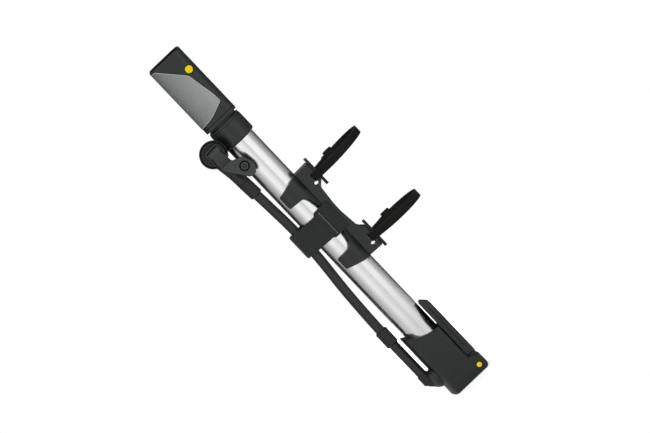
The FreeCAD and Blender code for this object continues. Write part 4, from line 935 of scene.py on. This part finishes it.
@dataclass
class Base:
    """Base housing with its outlet valve and the folding foot."""

    port: Point = (-13.7 * MM, 0.0, 20.0 * MM)
    port_radius: float = 9.6 * MM
    port_face: float = -18.2 * MM
    wall: float = 12.9 * MM
    half_y: float = 14.2 * MM
    pin: Point = (15.1 * MM, 0.0, 5.8 * MM)
    pin_shade_radius: float = 2.4 * MM
    rest_half: float = 12.6 * MM
    rest_z: tuple[float, float] = (15.4 * MM, 24.2 * MM)
    rest_corner: float = 0.6 * MM
    rest_layers: tuple[tuple[float, float], ...] = ((-0.1 * MM, 1.0), (0.3 * MM, 1.0), (0.33 * MM, 0.7))
    pad_shade: float = 0.2 * MM
    pad_shade_x: float = 16.9 * MM
    pad_shade_z: tuple[float, float] = (25.0 * MM, 66.0 * MM)
    pad_half: float = 13.4 * MM

    def build(self, bench: Bench) -> None:
        """Dresses the base, the valve and the foot, and adds the port's dome, the rest strip and painted
        shade lines.

        Args:
            bench: The frame and the palette.
        """
        bench.dress({
            "base_housing": Look.SHELL, "check_poppet": Look.ACETAL, "check_spring": Look.STEEL,
            "foot_pad": Look.BRACKET, "foot_tread": Look.RUBBER, "foot_pin": Look.STEEL,
            "foot_pin_caps": Look.YELLOW})
        # The dome is in the lighter lever plastic: a painted highlight on its face.
        bench.place(mesh_piece("port_dome", self.dome()), Look.LEVER, "pump")
        bench.place(mesh_piece("foot_rest_strip", self.rest_strip()), Look.RUBBER, "pump", "rubber")
        # Painted shade round the foot pin's caps.
        gap = pin_shade_ring(self.pin, self.half_y, self.pin_shade_radius)
        bench.place(mesh_piece("foot_pin_shade", gap), Look.PAINTED_SHADE, "pump")
        # Painted shade line up the foot pad's side faces.
        bench.place(mesh_piece("foot_edge_shade", self.foot_edge_shade()), Look.PAINTED_SHADE, "foot")

    def dome(self) -> bmesh.types.BMesh:
        """Ball-shaped end of the port, which the elbow's socket grows out of.

        Returns:
            The mesh.
        """
        centre = Vector(self.port)
        start = math.acos((centre.x - self.port_face) / self.port_radius)
        rings = []
        for row in range(15):
            lean = start * (1.0 - row / 14) + 0.02
            rings.append([centre + self.port_radius * Vector((
                -math.cos(lean), math.sin(lean) * math.cos(a), math.sin(lean) * math.sin(a)))
                for a in turns(64)])
        return swept(rings, False)

    def rest_strip(self) -> bmesh.types.BMesh:
        """Thin rubber strip on the flat wall that the folded foot lies against.

        Returns:
            The mesh.
        """
        low, high = self.rest_z
        soft = self.rest_corner
        corners = [(-self.rest_half, low), (self.rest_half, low), (self.rest_half, high),
                   (-self.rest_half, high)]
        rings = []
        for depth, share in self.rest_layers:
            ring = []
            for index, (y, z) in enumerate(corners):
                middle = Vector((self.wall + depth, y - math.copysign(soft, y),
                                 z + (soft if z == low else -soft)))
                for part in range(7):
                    turn = math.pi * (1.0 + index * 0.5 + part / 12)
                    ring.append(middle + soft * share * Vector((0.0, math.cos(turn), math.sin(turn))))
            rings.append(ring)
        return swept(rings, False)

    def foot_edge_shade(self) -> bmesh.types.BMesh:
        """Painted shade: a fine near-black line up both side faces of the folded foot pad.

        Returns:
            The mesh.
        """
        low, high = self.pad_shade_z
        lines = []
        for side in (-1, 1):
            out = Vector((0.0, side, 0.0))
            foot = Vector((self.pad_shade_x, side * self.pad_half, low))
            line = [(foot + Vector((0.0, 0.0, (high - low) * k / 12)), out) for k in range(13)]
            lines.append(bead(line, self.pad_shade, False))
        return joined(lines)


@dataclass
class PumpHead:
    """Valve head with its cover, gasket, nut and locking lever, drawn in the head's own leaning frame."""

    origin: Point = (-19.9 * MM, 0.0, 222.0 * MM)
    tilt: float = math.radians(3.5)
    valve_height: float = 47.6 * MM
    cover_front: float = -12.2 * MM
    rims: tuple[tuple[str, float, float, float, Look], ...] = (
        # The groove ring is a near-black bead of painted shade; the step ring, in the lighter lever plastic,
        # a painted highlight.
        ("cover_rim", 10.9 * MM, 1.6 * MM, 0.55 * MM, Look.FITTING),
        ("cover_groove_shade", 9.9 * MM, 0.95 * MM, 0.3 * MM, Look.PAINTED_SHADE),
        ("cover_step_highlight", 8.6 * MM, 0.9 * MM, 0.28 * MM, Look.LEVER))
    lever_shift: float = 1.3 * MM
    lever_half: float = 5.1 * MM
    lever_front: float = -18.0 * MM
    lever_bend: float = 33.6 * MM
    lever_lean: float = 0.0571
    face_rows: tuple[tuple[float, float], ...] = (
        (34.5 * MM, 0.15 * MM), (44.0 * MM, -1.15 * MM), (46.0 * MM, -1.95 * MM),
        (47.4 * MM, -2.6 * MM), (49.6 * MM, -2.62 * MM), (50.2 * MM, -2.0 * MM))
    face_thick: float = 0.9 * MM
    face_bevel: float = 0.3 * MM
    bridge_z: tuple[float, float] = (-2.0 * MM, 5.5 * MM)
    bridge_y: tuple[float, float] = (-20.3 * MM, -11.9 * MM)
    bridge_corner: float = 1.6 * MM
    bridge_half: float = 0.55 * MM
    stud: tuple[float, float] = (10.3 * MM, 24.6 * MM)
    stud_shade_ring: tuple[float, float] = (3.8 * MM, 0.42 * MM)

    def build(self, bench: Bench) -> None:
        """Dresses the head's pieces, and adds the cover's rims with painted shade and highlight, the fork's
        bridge and the lever's face.

        Args:
            bench: The frame and the palette.
        """
        bench.dress({
            "head_body": Look.FITTING, "head_cover": Look.FITTING, "valve_gasket": Look.RUBBER,
            "valve_nut": Look.FITTING, "gasket_plunger": Look.ACETAL, "lever_pin": Look.DARK_STEEL,
            "thumb_lever": Look.LEVER, "lever_stud": Look.DARK_STEEL})
        forward = Vector((0.0, -1.0, 0.0))
        for name, radius, depth, thick, look in self.rims:
            ring = [(self.placed(radius * math.cos(a), self.cover_front + depth,
                                 self.valve_height + radius * math.sin(a)), forward) for a in turns(96)]
            bench.place(mesh_piece(name, bead(ring, thick, True)), look, "pump")
        bench.place(mesh_piece("fork_bridge", self.bridge()), Look.LEVER, "pump")
        bench.place(mesh_piece("lever_face", self.face()), Look.LEVER, "lever")
        # Near-black bead round the lever's stud: painted shade in the ring round it.
        ring = []
        radius, thick = self.stud_shade_ring
        for turn in turns(64):
            z = self.stud[1] + radius * math.sin(turn)
            y = self.lever_front - self.lever_lean * (self.lever_bend - z)
            ring.append((self.placed(self.stud[0] + radius * math.cos(turn), y, z), forward))
        bench.place(mesh_piece("stud_shade_ring", bead(ring, thick, True)), Look.PAINTED_SHADE, "lever")

    def placed(self, x: float, y: float, z: float) -> Vector:
        """A point of the head's own frame, carried to its place beside the barrel."""
        return Vector(self.origin) + Vector((x * math.cos(self.tilt) - z * math.sin(self.tilt), y,
                                             x * math.sin(self.tilt) + z * math.cos(self.tilt)))

    def bridge(self) -> bmesh.types.BMesh:
        """Rounded bar that joins the fork's two cheeks over the lever's end.

        Returns:
            The mesh.
        """
        reach = self.lever_half + 0.95 * MM
        low, high = (self.valve_height + rise for rise in self.bridge_z)
        front, back = self.bridge_y
        bevel = 0.4 * MM
        line = rounded_line([(-reach, low, 0.0), (-reach, high, self.bridge_corner),
                             (reach, high, self.bridge_corner), (reach, low, 0.0)], 6)
        rings = []
        for index, (x, z) in enumerate(line):
            before, after = line[max(index - 1, 0)], line[min(index + 1, len(line) - 1)]
            along = Vector((after[0] - before[0], after[1] - before[1])).normalized()
            across = Vector((along.y, -along.x)) * self.bridge_half
            rings.append([
                self.placed(self.lever_shift + x + across.x * side, depth, z + across.y * side)
                for side, depth in ((1.0, back), (1.0, front + bevel), (0.5, front), (-0.5, front),
                                    (-1.0, front + bevel), (-1.0, back))])
        return swept(rings, False)

    def face(self) -> bmesh.types.BMesh:
        """Flat front of the lever's upper arm, which hides the cam's barrel.

        Returns:
            The mesh.
        """
        half = self.lever_half - 0.05 * MM
        bevel = self.face_bevel
        rings = []
        for height, lift in self.face_rows:
            front = self.lever_front + lift
            back = front + self.face_thick
            rings.append([self.placed(self.lever_shift + x, y, height) for x, y in (
                (-half, back), (-half, front + bevel), (bevel - half, front),
                (half - bevel, front), (half, front + bevel), (half, back))])
        return swept(rings, False)


@dataclass
class Handle:
    """Folding handle with its soft palm pad."""

    half_x: float = 15.6 * MM
    half_y: float = 13.6 * MM
    corner: float = 7.5 * MM
    proud: float = 0.25 * MM
    top: float = 350.0 * MM
    bottom: float = 284.1 * MM
    pivot: Point = (9.3 * MM, 0.0, 331.8 * MM)
    pin_shade_radius: float = 3.4 * MM
    palm_rise: Point = (5.5 * MM, 7.5 * MM, 12.9 * MM)
    palm_side: float = 19.9 * MM
    palm_drop: float = 1.4 * MM
    edge_highlight: float = 0.32 * MM
    lip_limit: float = 1.9 * MM
    palm_gap_shade: tuple[float, float] = (0.24 * MM, 0.5 * MM)
    shade_rise: float = 3.28 * MM
    shade_bead: tuple[float, float] = (-0.16 * MM, 0.15 * MM)
    rim: Point = (-0.75 * MM, -0.3 * MM, 0.2 * MM)
    face_inset: float = -1.3 * MM
    face_rises: Point = (-0.2 * MM, 0.04 * MM, 0.06 * MM)
    dot: float = 0.42 * MM
    dot_x: float = -13.6 * MM
    dot_rise: float = 16.2 * MM
    dot_pitch: float = 8.8 * MM
    dot_count: int = 5

    def build(self, bench: Bench) -> None:
        """Dresses the handle's pieces; adds the pad's painted edge highlight and dots, beads of painted
        shade, and the top's highlight and shade.

        Args:
            bench: The frame and the palette.
        """
        bench.dress({
            "handle_shell": Look.SHELL, "handle_collar": Look.SHELL, "palm_pad": Look.GRIP,
            "handle_pivot": Look.STEEL, "handle_pin_caps": Look.YELLOW})
        # Near-black bead in the collar's groove: painted shade.
        inset, thick = self.shade_bead
        shade_bead = bead(self.section(inset, self.bottom + self.shade_rise), thick, True)
        bench.place(mesh_piece("collar_groove_shade", shade_bead), Look.PAINTED_SHADE, "handle")
        edge = self.palm_loop()
        # The pad's edge bead is in the lighter grey: a painted highlight.
        bench.place(mesh_piece("palm_edge_highlight", bead(edge, self.edge_highlight, True)), Look.GRIP_HIGHLIGHT, "handle", "grey_grip")
        # Near-black bead beside the pad's edge: painted shade in the gap.
        thick, aside = self.palm_gap_shade
        bench.place(mesh_piece("palm_gap_shade", bead(edge, thick, True, aside)), Look.PAINTED_SHADE, "handle")
        # Bead of the lighter lever plastic round the top edge: a painted highlight.
        inset, rise, thick = self.rim
        rim = bead(self.section(inset, self.top + rise), thick, True)
        bench.place(mesh_piece("top_rim_highlight", rim), Look.LEVER, "handle")
        # Near-black sheet just over the top: painted shade, as of a shaded recess.
        top = swept([[point for point, _ in self.section(self.face_inset, self.top + rise)]
                     for rise in self.face_rises], False)
        bench.place(mesh_piece("top_recess_shade", top), Look.PAINTED_SHADE, "handle")
        # Painted shade round the pivot pin's caps.
        gap = pin_shade_ring(self.pivot, self.half_y, self.pin_shade_radius)
        bench.place(mesh_piece("handle_pin_shade", gap), Look.PAINTED_SHADE, "handle")
        # The dots are in the lighter grey too: a painted highlight on each dome.
        bench.place(mesh_piece("palm_dots", self.dots()), Look.GRIP_HIGHLIGHT, "handle", "grey_grip")

    def skin(self, x: float, side: int, grow: float) -> SurfacePoint:
        """Where the handle's surface lies at an X, on the front or back.

        Args:
            x: The X.
            side: -1 for the front, 1 for the back.
            grow: How far outside the shell.

        Returns:
            The point, at height 0, and the outward direction.
        """
        centre_x = self.half_x - self.corner
        centre_y = self.half_y - self.corner
        beyond = abs(x) - centre_x
        if beyond <= 0.0:
            return Vector((x, side * (self.half_y + grow), 0.0)), Vector((0.0, side, 0.0))
        radius = self.corner + grow
        lean = min(1.0, beyond / radius)
        out = Vector((math.copysign(lean, x), side * math.sqrt(1.0 - lean * lean), 0.0))
        middle = Vector((math.copysign(centre_x, x), side * centre_y, 0.0))
        return middle + out * radius, out

    def section(self, grow: float, z: float) -> list[SurfacePoint]:
        """Line round the handle at a height, with outward directions.

        Args:
            grow: How far outside the shell.
            z: The height.

        Returns:
            The line's points and directions.
        """
        line = []
        for side in (-1, 1):
            for index in range(49):
                turn = math.pi * index / 48
                x = side * math.cos(turn) * (self.half_x + grow)
                point, out = self.skin(x, side, grow)
                line.append((point + Vector((0, 0, z)), out))
        return line

    def palm_outline(self) -> list[tuple[float, float]]:
        """Outline of the palm pad seen from the front, from its lower to its upper left end.

        Returns:
            Its points, as X and height.
        """
        left = -self.half_x - 6.0 * MM
        upper = self.top - self.palm_drop
        end, dip, corner = (self.bottom + rise for rise in self.palm_rise)
        return rounded_line([
            (left, end, 0.0), (-self.half_x / 4, dip, self.half_x * 1.6),
            (self.half_x - 5.4 * MM, corner, 1.8 * MM),
            (self.half_x - 5.7 * MM, self.bottom + self.palm_side, self.half_x - 1.6 * MM),
            (self.pivot[0] - 3.7 * MM, self.pivot[2] - 3.6 * MM, 9.0 * MM),
            (3.0 * MM - self.half_x, upper, 2.5 * MM), (left, upper, 0.0)])

    def palm_loop(self) -> list[SurfacePoint]:
        """The pad's edge: up the front, over the left side and down the back.

        Returns:
            The line's points and outward directions.
        """
        limit = self.half_x + self.proud
        outline = []
        points = self.palm_outline()
        for (x0, z0), (x1, z1) in zip(points, points[1:]):
            count = max(1, int(math.hypot(x1 - x0, z1 - z0) / (0.5 * MM)))
            for step in range(count):
                x, z = x0 + (x1 - x0) * step / count, z0 + (z1 - z0) * step / count
                if x > -limit:
                    outline.append((x, min(z, self.top - self.lip_limit)))
        loop = []
        for side, row in ((-1, outline), (1, outline[::-1])):
            for x, z in row:
                point, out = self.skin(x, side, self.proud - self.edge_highlight * 0.55)
                loop.append((point + Vector((0, 0, z)), out))
        return loop

    def dots(self) -> bmesh.types.BMesh:
        """Row of small moulded domes down the pad's left edge, front and back.

        Returns:
            The mesh.
        """
        shape = bmesh.new()
        for side in (-1, 1):
            for index in range(self.dot_count):
                point, out = self.skin(self.dot_x, side, self.proud)
                point.z = self.bottom + self.dot_rise + index * self.dot_pitch
                turn = out.to_track_quat("Z", "Y").to_matrix().to_4x4()
                dome = bmesh.ops.create_icosphere(
                    shape, subdivisions=2, radius=self.dot,
                    matrix=Matrix.Translation(point - out * self.dot * 0.35) @ turn)
                bmesh.ops.scale(shape, vec=(1.0, 1.0, 1.25), verts=dome["verts"],
                                space=Matrix.Translation(-point))
        return shape


@dataclass
class Bracket:
    """Frame bracket with its saddle pads and toothed ties."""

    tube_axis: float = 49.8 * MM
    tube_radius: float = 22.25 * MM
    tie_width: float = 6.4 * MM
    ties: tuple[tuple[str, float, float], ...] = (
        ("lower", 136.7 * MM, 0.0), ("upper", 201.7 * MM, math.radians(4.0)))
    slot_x: float = 18.9 * MM
    tooth_pitch: float = 1.15 * MM
    tooth_height: float = 0.22 * MM
    tooth_root: float = 0.12 * MM
    tooth_inset: float = 1.3 * MM
    toothed_arc: float = math.radians(230.0)

    def build(self, bench: Bench) -> None:
        """Dresses the bracket, and cuts the ties' teeth.

        Args:
            bench: The frame and the palette.
        """
        bench.dress({
            "bracket": Look.BRACKET, "saddle_pad_lower": Look.RUBBER,
            "saddle_pad_upper": Look.RUBBER, "tie_lower": Look.NYLON, "tie_upper": Look.NYLON})
        for which, height, skew in self.ties:
            piece = mesh_piece("tie_teeth_" + which, self.teeth(height, skew), False)
            bench.place(piece, Look.NYLON, "pump", "tie_nylon")

    def teeth(self, height: float, skew: float) -> bmesh.types.BMesh:
        """Row of wedge teeth on a tie's inner face, round the far side of the frame tube.

        Args:
            height: The tie's height where it leaves its slot.
            skew: How far it climbs toward the frame tube, as an angle.

        Returns:
            The mesh.
        """
        shape = bmesh.new()
        half = self.tie_width / 2 - self.tooth_inset
        inner, outer = self.tube_radius - self.tooth_height, self.tube_radius + self.tooth_root
        step = self.tooth_pitch / self.tube_radius
        count = int(self.toothed_arc / step)
        for index in range(count):
            angle = (index - (count - 1) / 2) * step
            section = [(angle - step * 0.42, outer), (angle - step * 0.30, inner),
                       (angle + step * 0.42, outer)]
            rows = []
            for side in (-half, half):
                row = []
                for turn, radius in section:
                    x = self.tube_axis + radius * math.cos(turn)
                    y = radius * math.sin(turn)
                    z = height + side + (x - self.slot_x) * math.tan(skew)
                    row.append(shape.verts.new((x, y, z)))
                rows.append(row)
            shape.faces.new(rows[0][::-1])
            shape.faces.new(rows[1])
            for first in range(3):
                after = (first + 1) % 3
                shape.faces.new((rows[0][first], rows[0][after], rows[1][after], rows[1][first]))
        return shape


@dataclass
class Strap:
    """Hook-and-loop strap round the barrel and the hose, lapped over itself at the front."""

    low: float = 156.1 * MM
    height: float = 26.2 * MM
    thick: float = 1.35 * MM
    lap_low: float = 157.9 * MM
    lap_high: float = 179.9 * MM
    lap_x: float = 5.3 * MM
    flare: tuple[float, float] = (-0.5 * MM, 3.2 * MM)
    step: float = 0.8 * MM
    selvedge: float = 1.1 * MM
    pucker: float = 0.05 * MM
    slot_side: float = 16.8 * MM
    edge_inset: float = 0.3 * MM
    edge_half: float = 0.45 * MM
    stitch_rows: tuple[int, int] = (4, 6)
    stitch_inset: tuple[float, float] = (1.4 * MM, 1.2 * MM)
    stitch_length: float = 1.7 * MM
    stitch_gap: float = 0.5 * MM
    stitch_rise: float = 0.13 * MM
    thread: float = 0.16 * MM
    circles: tuple[Point, ...] = (
        (14.8 * MM, 8.5 * MM, 0.6 * MM), (0.0, 0.0, 12.55 * MM), (-18.0 * MM, 0.0, 4.5 * MM),
        (14.8 * MM, -8.5 * MM, 0.6 * MM))

    def loop(self, offset: float) -> list[SurfacePoint]:
        """Points round a belt pulled over the circles, each with its outward direction.

        Args:
            offset: How far outside the circles the line runs.

        Returns:
            Points and directions, evenly spaced, once round from the slot's front lip.
        """
        corners = []
        for angle in turns(720):
            out = Vector((math.cos(angle), math.sin(angle), 0.0))
            x, y, radius = max(self.circles, key=lambda c: c[0] * out.x + c[1] * out.y + c[2])
            corners.append((Vector((x, y, 0.0)) + out * (radius + offset), out))
        line = []
        for (here, out), (there, out_there) in zip(corners, corners[1:] + corners[:1]):
            gap = (there - here).length
            count = max(1, int(gap / (self.step / 3)))
            for part in range(count):
                share = part / count
                line.append((here.lerp(there, share), out.lerp(out_there, share).normalized()))
        total = sum((b[0] - a[0]).length for a, b in zip(line, line[1:] + line[:1]))
        wanted = int(total / self.step)
        spaced, walked, mark = [], 0.0, 0
        for before, after in zip(line, line[1:] + line[:1]):
            if walked >= mark * total / wanted and mark < wanted:
                spaced.append(before)
                mark += 1
            walked += (after[0] - before[0]).length
        return spaced

    def ring(self, point: Vector, out: Vector, low: float, high: float, wave: float) -> list[Vector]:
        """Cross-section of the webbing: flat faces, soft selvedges and a slight pucker.

        Args:
            point: Where the strap's middle surface is.
            out: Outward direction there.
            low: Height of the lower selvedge.
            high: Height of the upper selvedge.
            wave: Distance along the strap, for the pucker.

        Returns:
            The section's points in order.
        """
        half = self.thick / 2
        rise = 16
        section = []
        for side in (1.0, -1.0):
            for index in range(rise + 1):
                share = index / rise
                height = low + (high - low) * (share if side > 0 else 1.0 - share)
                edge = min(height - low, high - height) / self.selvedge
                round_off = math.sqrt(max(0.0, 1.0 - (1.0 - min(1.0, edge)) ** 2))
                pucker = self.pucker * math.sin(wave * 2100.0) * math.exp(-edge * 0.8)
                swell = half * (0.42 + 0.58 * round_off)
                section.append(point + out * (side * swell + pucker) + Vector((0, 0, height)))
        return section

    def limits(self, x: float) -> tuple[float, float]:
        """Lower and upper selvedge of the inner layer, which widens toward the spine.

        Args:
            x: How far toward the frame tube.

        Returns:
            The two heights.
        """
        narrow, wide = self.flare
        share = min(1.0, max(0.0, (x - narrow) / (wide - narrow)))
        share = share * share * (3.0 - 2.0 * share)
        hidden = 0.4 * MM
        low = self.lap_low + hidden + (self.low - self.lap_low - hidden) * share
        high = self.lap_high - hidden + (self.low + self.height - self.lap_high + hidden) * share
        return low, high

    def build(self, bench: Bench) -> None:
        """Lays the inner layer, the shade in the slot beside it, and the outer layer.

        Args:
            bench: The frame and the palette.
        """
        loop = self.loop(self.thick / 2)
        rings = [self.ring(point, out, *self.limits(point.x), index * self.step)
                 for index, (point, out) in enumerate(loop)]
        band = bench.place(mesh_piece("strap_webbing", swept(rings, True)), Look.STRAP, "pump",
                           "strap_fabric")
        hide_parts("strap_band")
        shade = [(Vector((self.slot_side, 0.0, self.low + self.height * k / 10)), Vector((1.0, 0.0, 0.0)))
                 for k in range(11)]
        bench.place(mesh_piece("slot_shade", bead(shade, 0.3 * MM, False)), Look.PAINTED_SHADE, "pump")
        self.lap(bench)

    def lap(self, bench: Bench) -> None:
        """Adds the outer layer from the front, round the hose, to the back of the barrel.

        Args:
            bench: The frame and the palette.
        """
        line = self.loop(self.thick * 1.5 + 0.05 * MM)
        start = next(i for i in range(len(line))
                     if line[i][0].x < self.lap_x <= line[i - 1][0].x and line[i][0].y > 0)
        turned = line[start:] + line[:start]
        end = next(i for i in range(10, len(turned)) if turned[i][0].x >= self.lap_x)
        part = turned[:end]
        low, high = self.lap_low, self.lap_high
        rings = [self.ring(point, out, low, high, index * self.step + self.step / 2)
                 for index, (point, out) in enumerate(part)]
        flap = bench.place(mesh_piece("strap_lap", swept(rings, False)), Look.STRAP, "pump",
                           "strap_fabric")
        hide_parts("strap_flap")
        trim = [bench.place(mesh_piece(name, shape), look, "pump", "strap_fabric")
                for name, shape, look in (
                    ("strap_edge_highlight_front", self.highlight_edge(part[-1]), Look.STRAP_EDGE_HIGHLIGHT),
                    ("strap_edge_highlight_back", self.highlight_edge(part[0]), Look.STRAP_EDGE_HIGHLIGHT),
                    ("strap_stitches", self.stitches(part), Look.THREAD))]
        bench.node("strap_band").name

    def highlight_edge(self, at: SurfacePoint) -> bmesh.types.BMesh:
        """Heat-sealed cut end of the outer layer, as a thin ragged bead in pale grey, a painted highlight.

        Args:
            at: Where the layer ends, with its outward direction.

        Returns:
            The mesh.
        """
        point, out = at
        across = Vector((-out.y, out.x, 0.0))
        low, high = self.lap_low + self.edge_inset, self.lap_high - self.edge_inset
        rings = []
        for index in range(61):
            ragged = 0.05 * MM * math.sin(index * 2.3) + 0.04 * MM * math.sin(index * 5.1 + 1.0)
            centre = point + Vector((0, 0, low + (high - low) * index / 60)) + across * ragged
            rings.append([centre + out * (self.thick * 0.47 * math.cos(a))
                          + across * (self.edge_half * math.sin(a)) for a in turns(12)])
        return swept(rings, False)

    def stitches(self, part: list[SurfacePoint]) -> bmesh.types.BMesh:
        """Two rows of lockstitch across the outer layer near its front end.

        Args:
            part: The outer layer's line.

        Returns:
            The mesh.
        """
        below, above = self.stitch_inset
        sewn = []
        for row in self.stitch_rows:
            point, out = part[-1 - row]
            across = Vector((-out.y, out.x, 0.0))
            height = self.lap_low + below
            while height + self.stitch_length < self.lap_high - above:
                rings = []
                for index in range(9):
                    bow = math.sin(math.pi * index / 8)
                    lift = self.thick / 2 + self.stitch_rise * bow
                    width = self.thread * (0.35 + 0.65 * bow)
                    centre = point + out * lift + Vector((0, 0, height + self.stitch_length * index / 8))
                    rings.append([centre + out * (width * math.cos(a)) + across * (width * math.sin(a))
                                  for a in turns(8)])
                sewn.append(swept(rings, False))
                height += self.stitch_length + self.stitch_gap
        return joined(sewn)


def main() -> None:
    """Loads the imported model, dresses it and lights it."""
    logging.basicConfig(level=logging.INFO, format="%(name)s %(message)s")
    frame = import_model()
    studio = Studio()
    studio.camera()
    bench = Bench(frame, Palette())
    for assembly in (Hose(), Barrel(), Base(), PumpHead(), Handle(), Bracket(), Strap()):
        assembly.build(bench)
        LOG.info("%s done", type(assembly).__name__)
    studio.light()


if __name__ == "__main__":
    main()
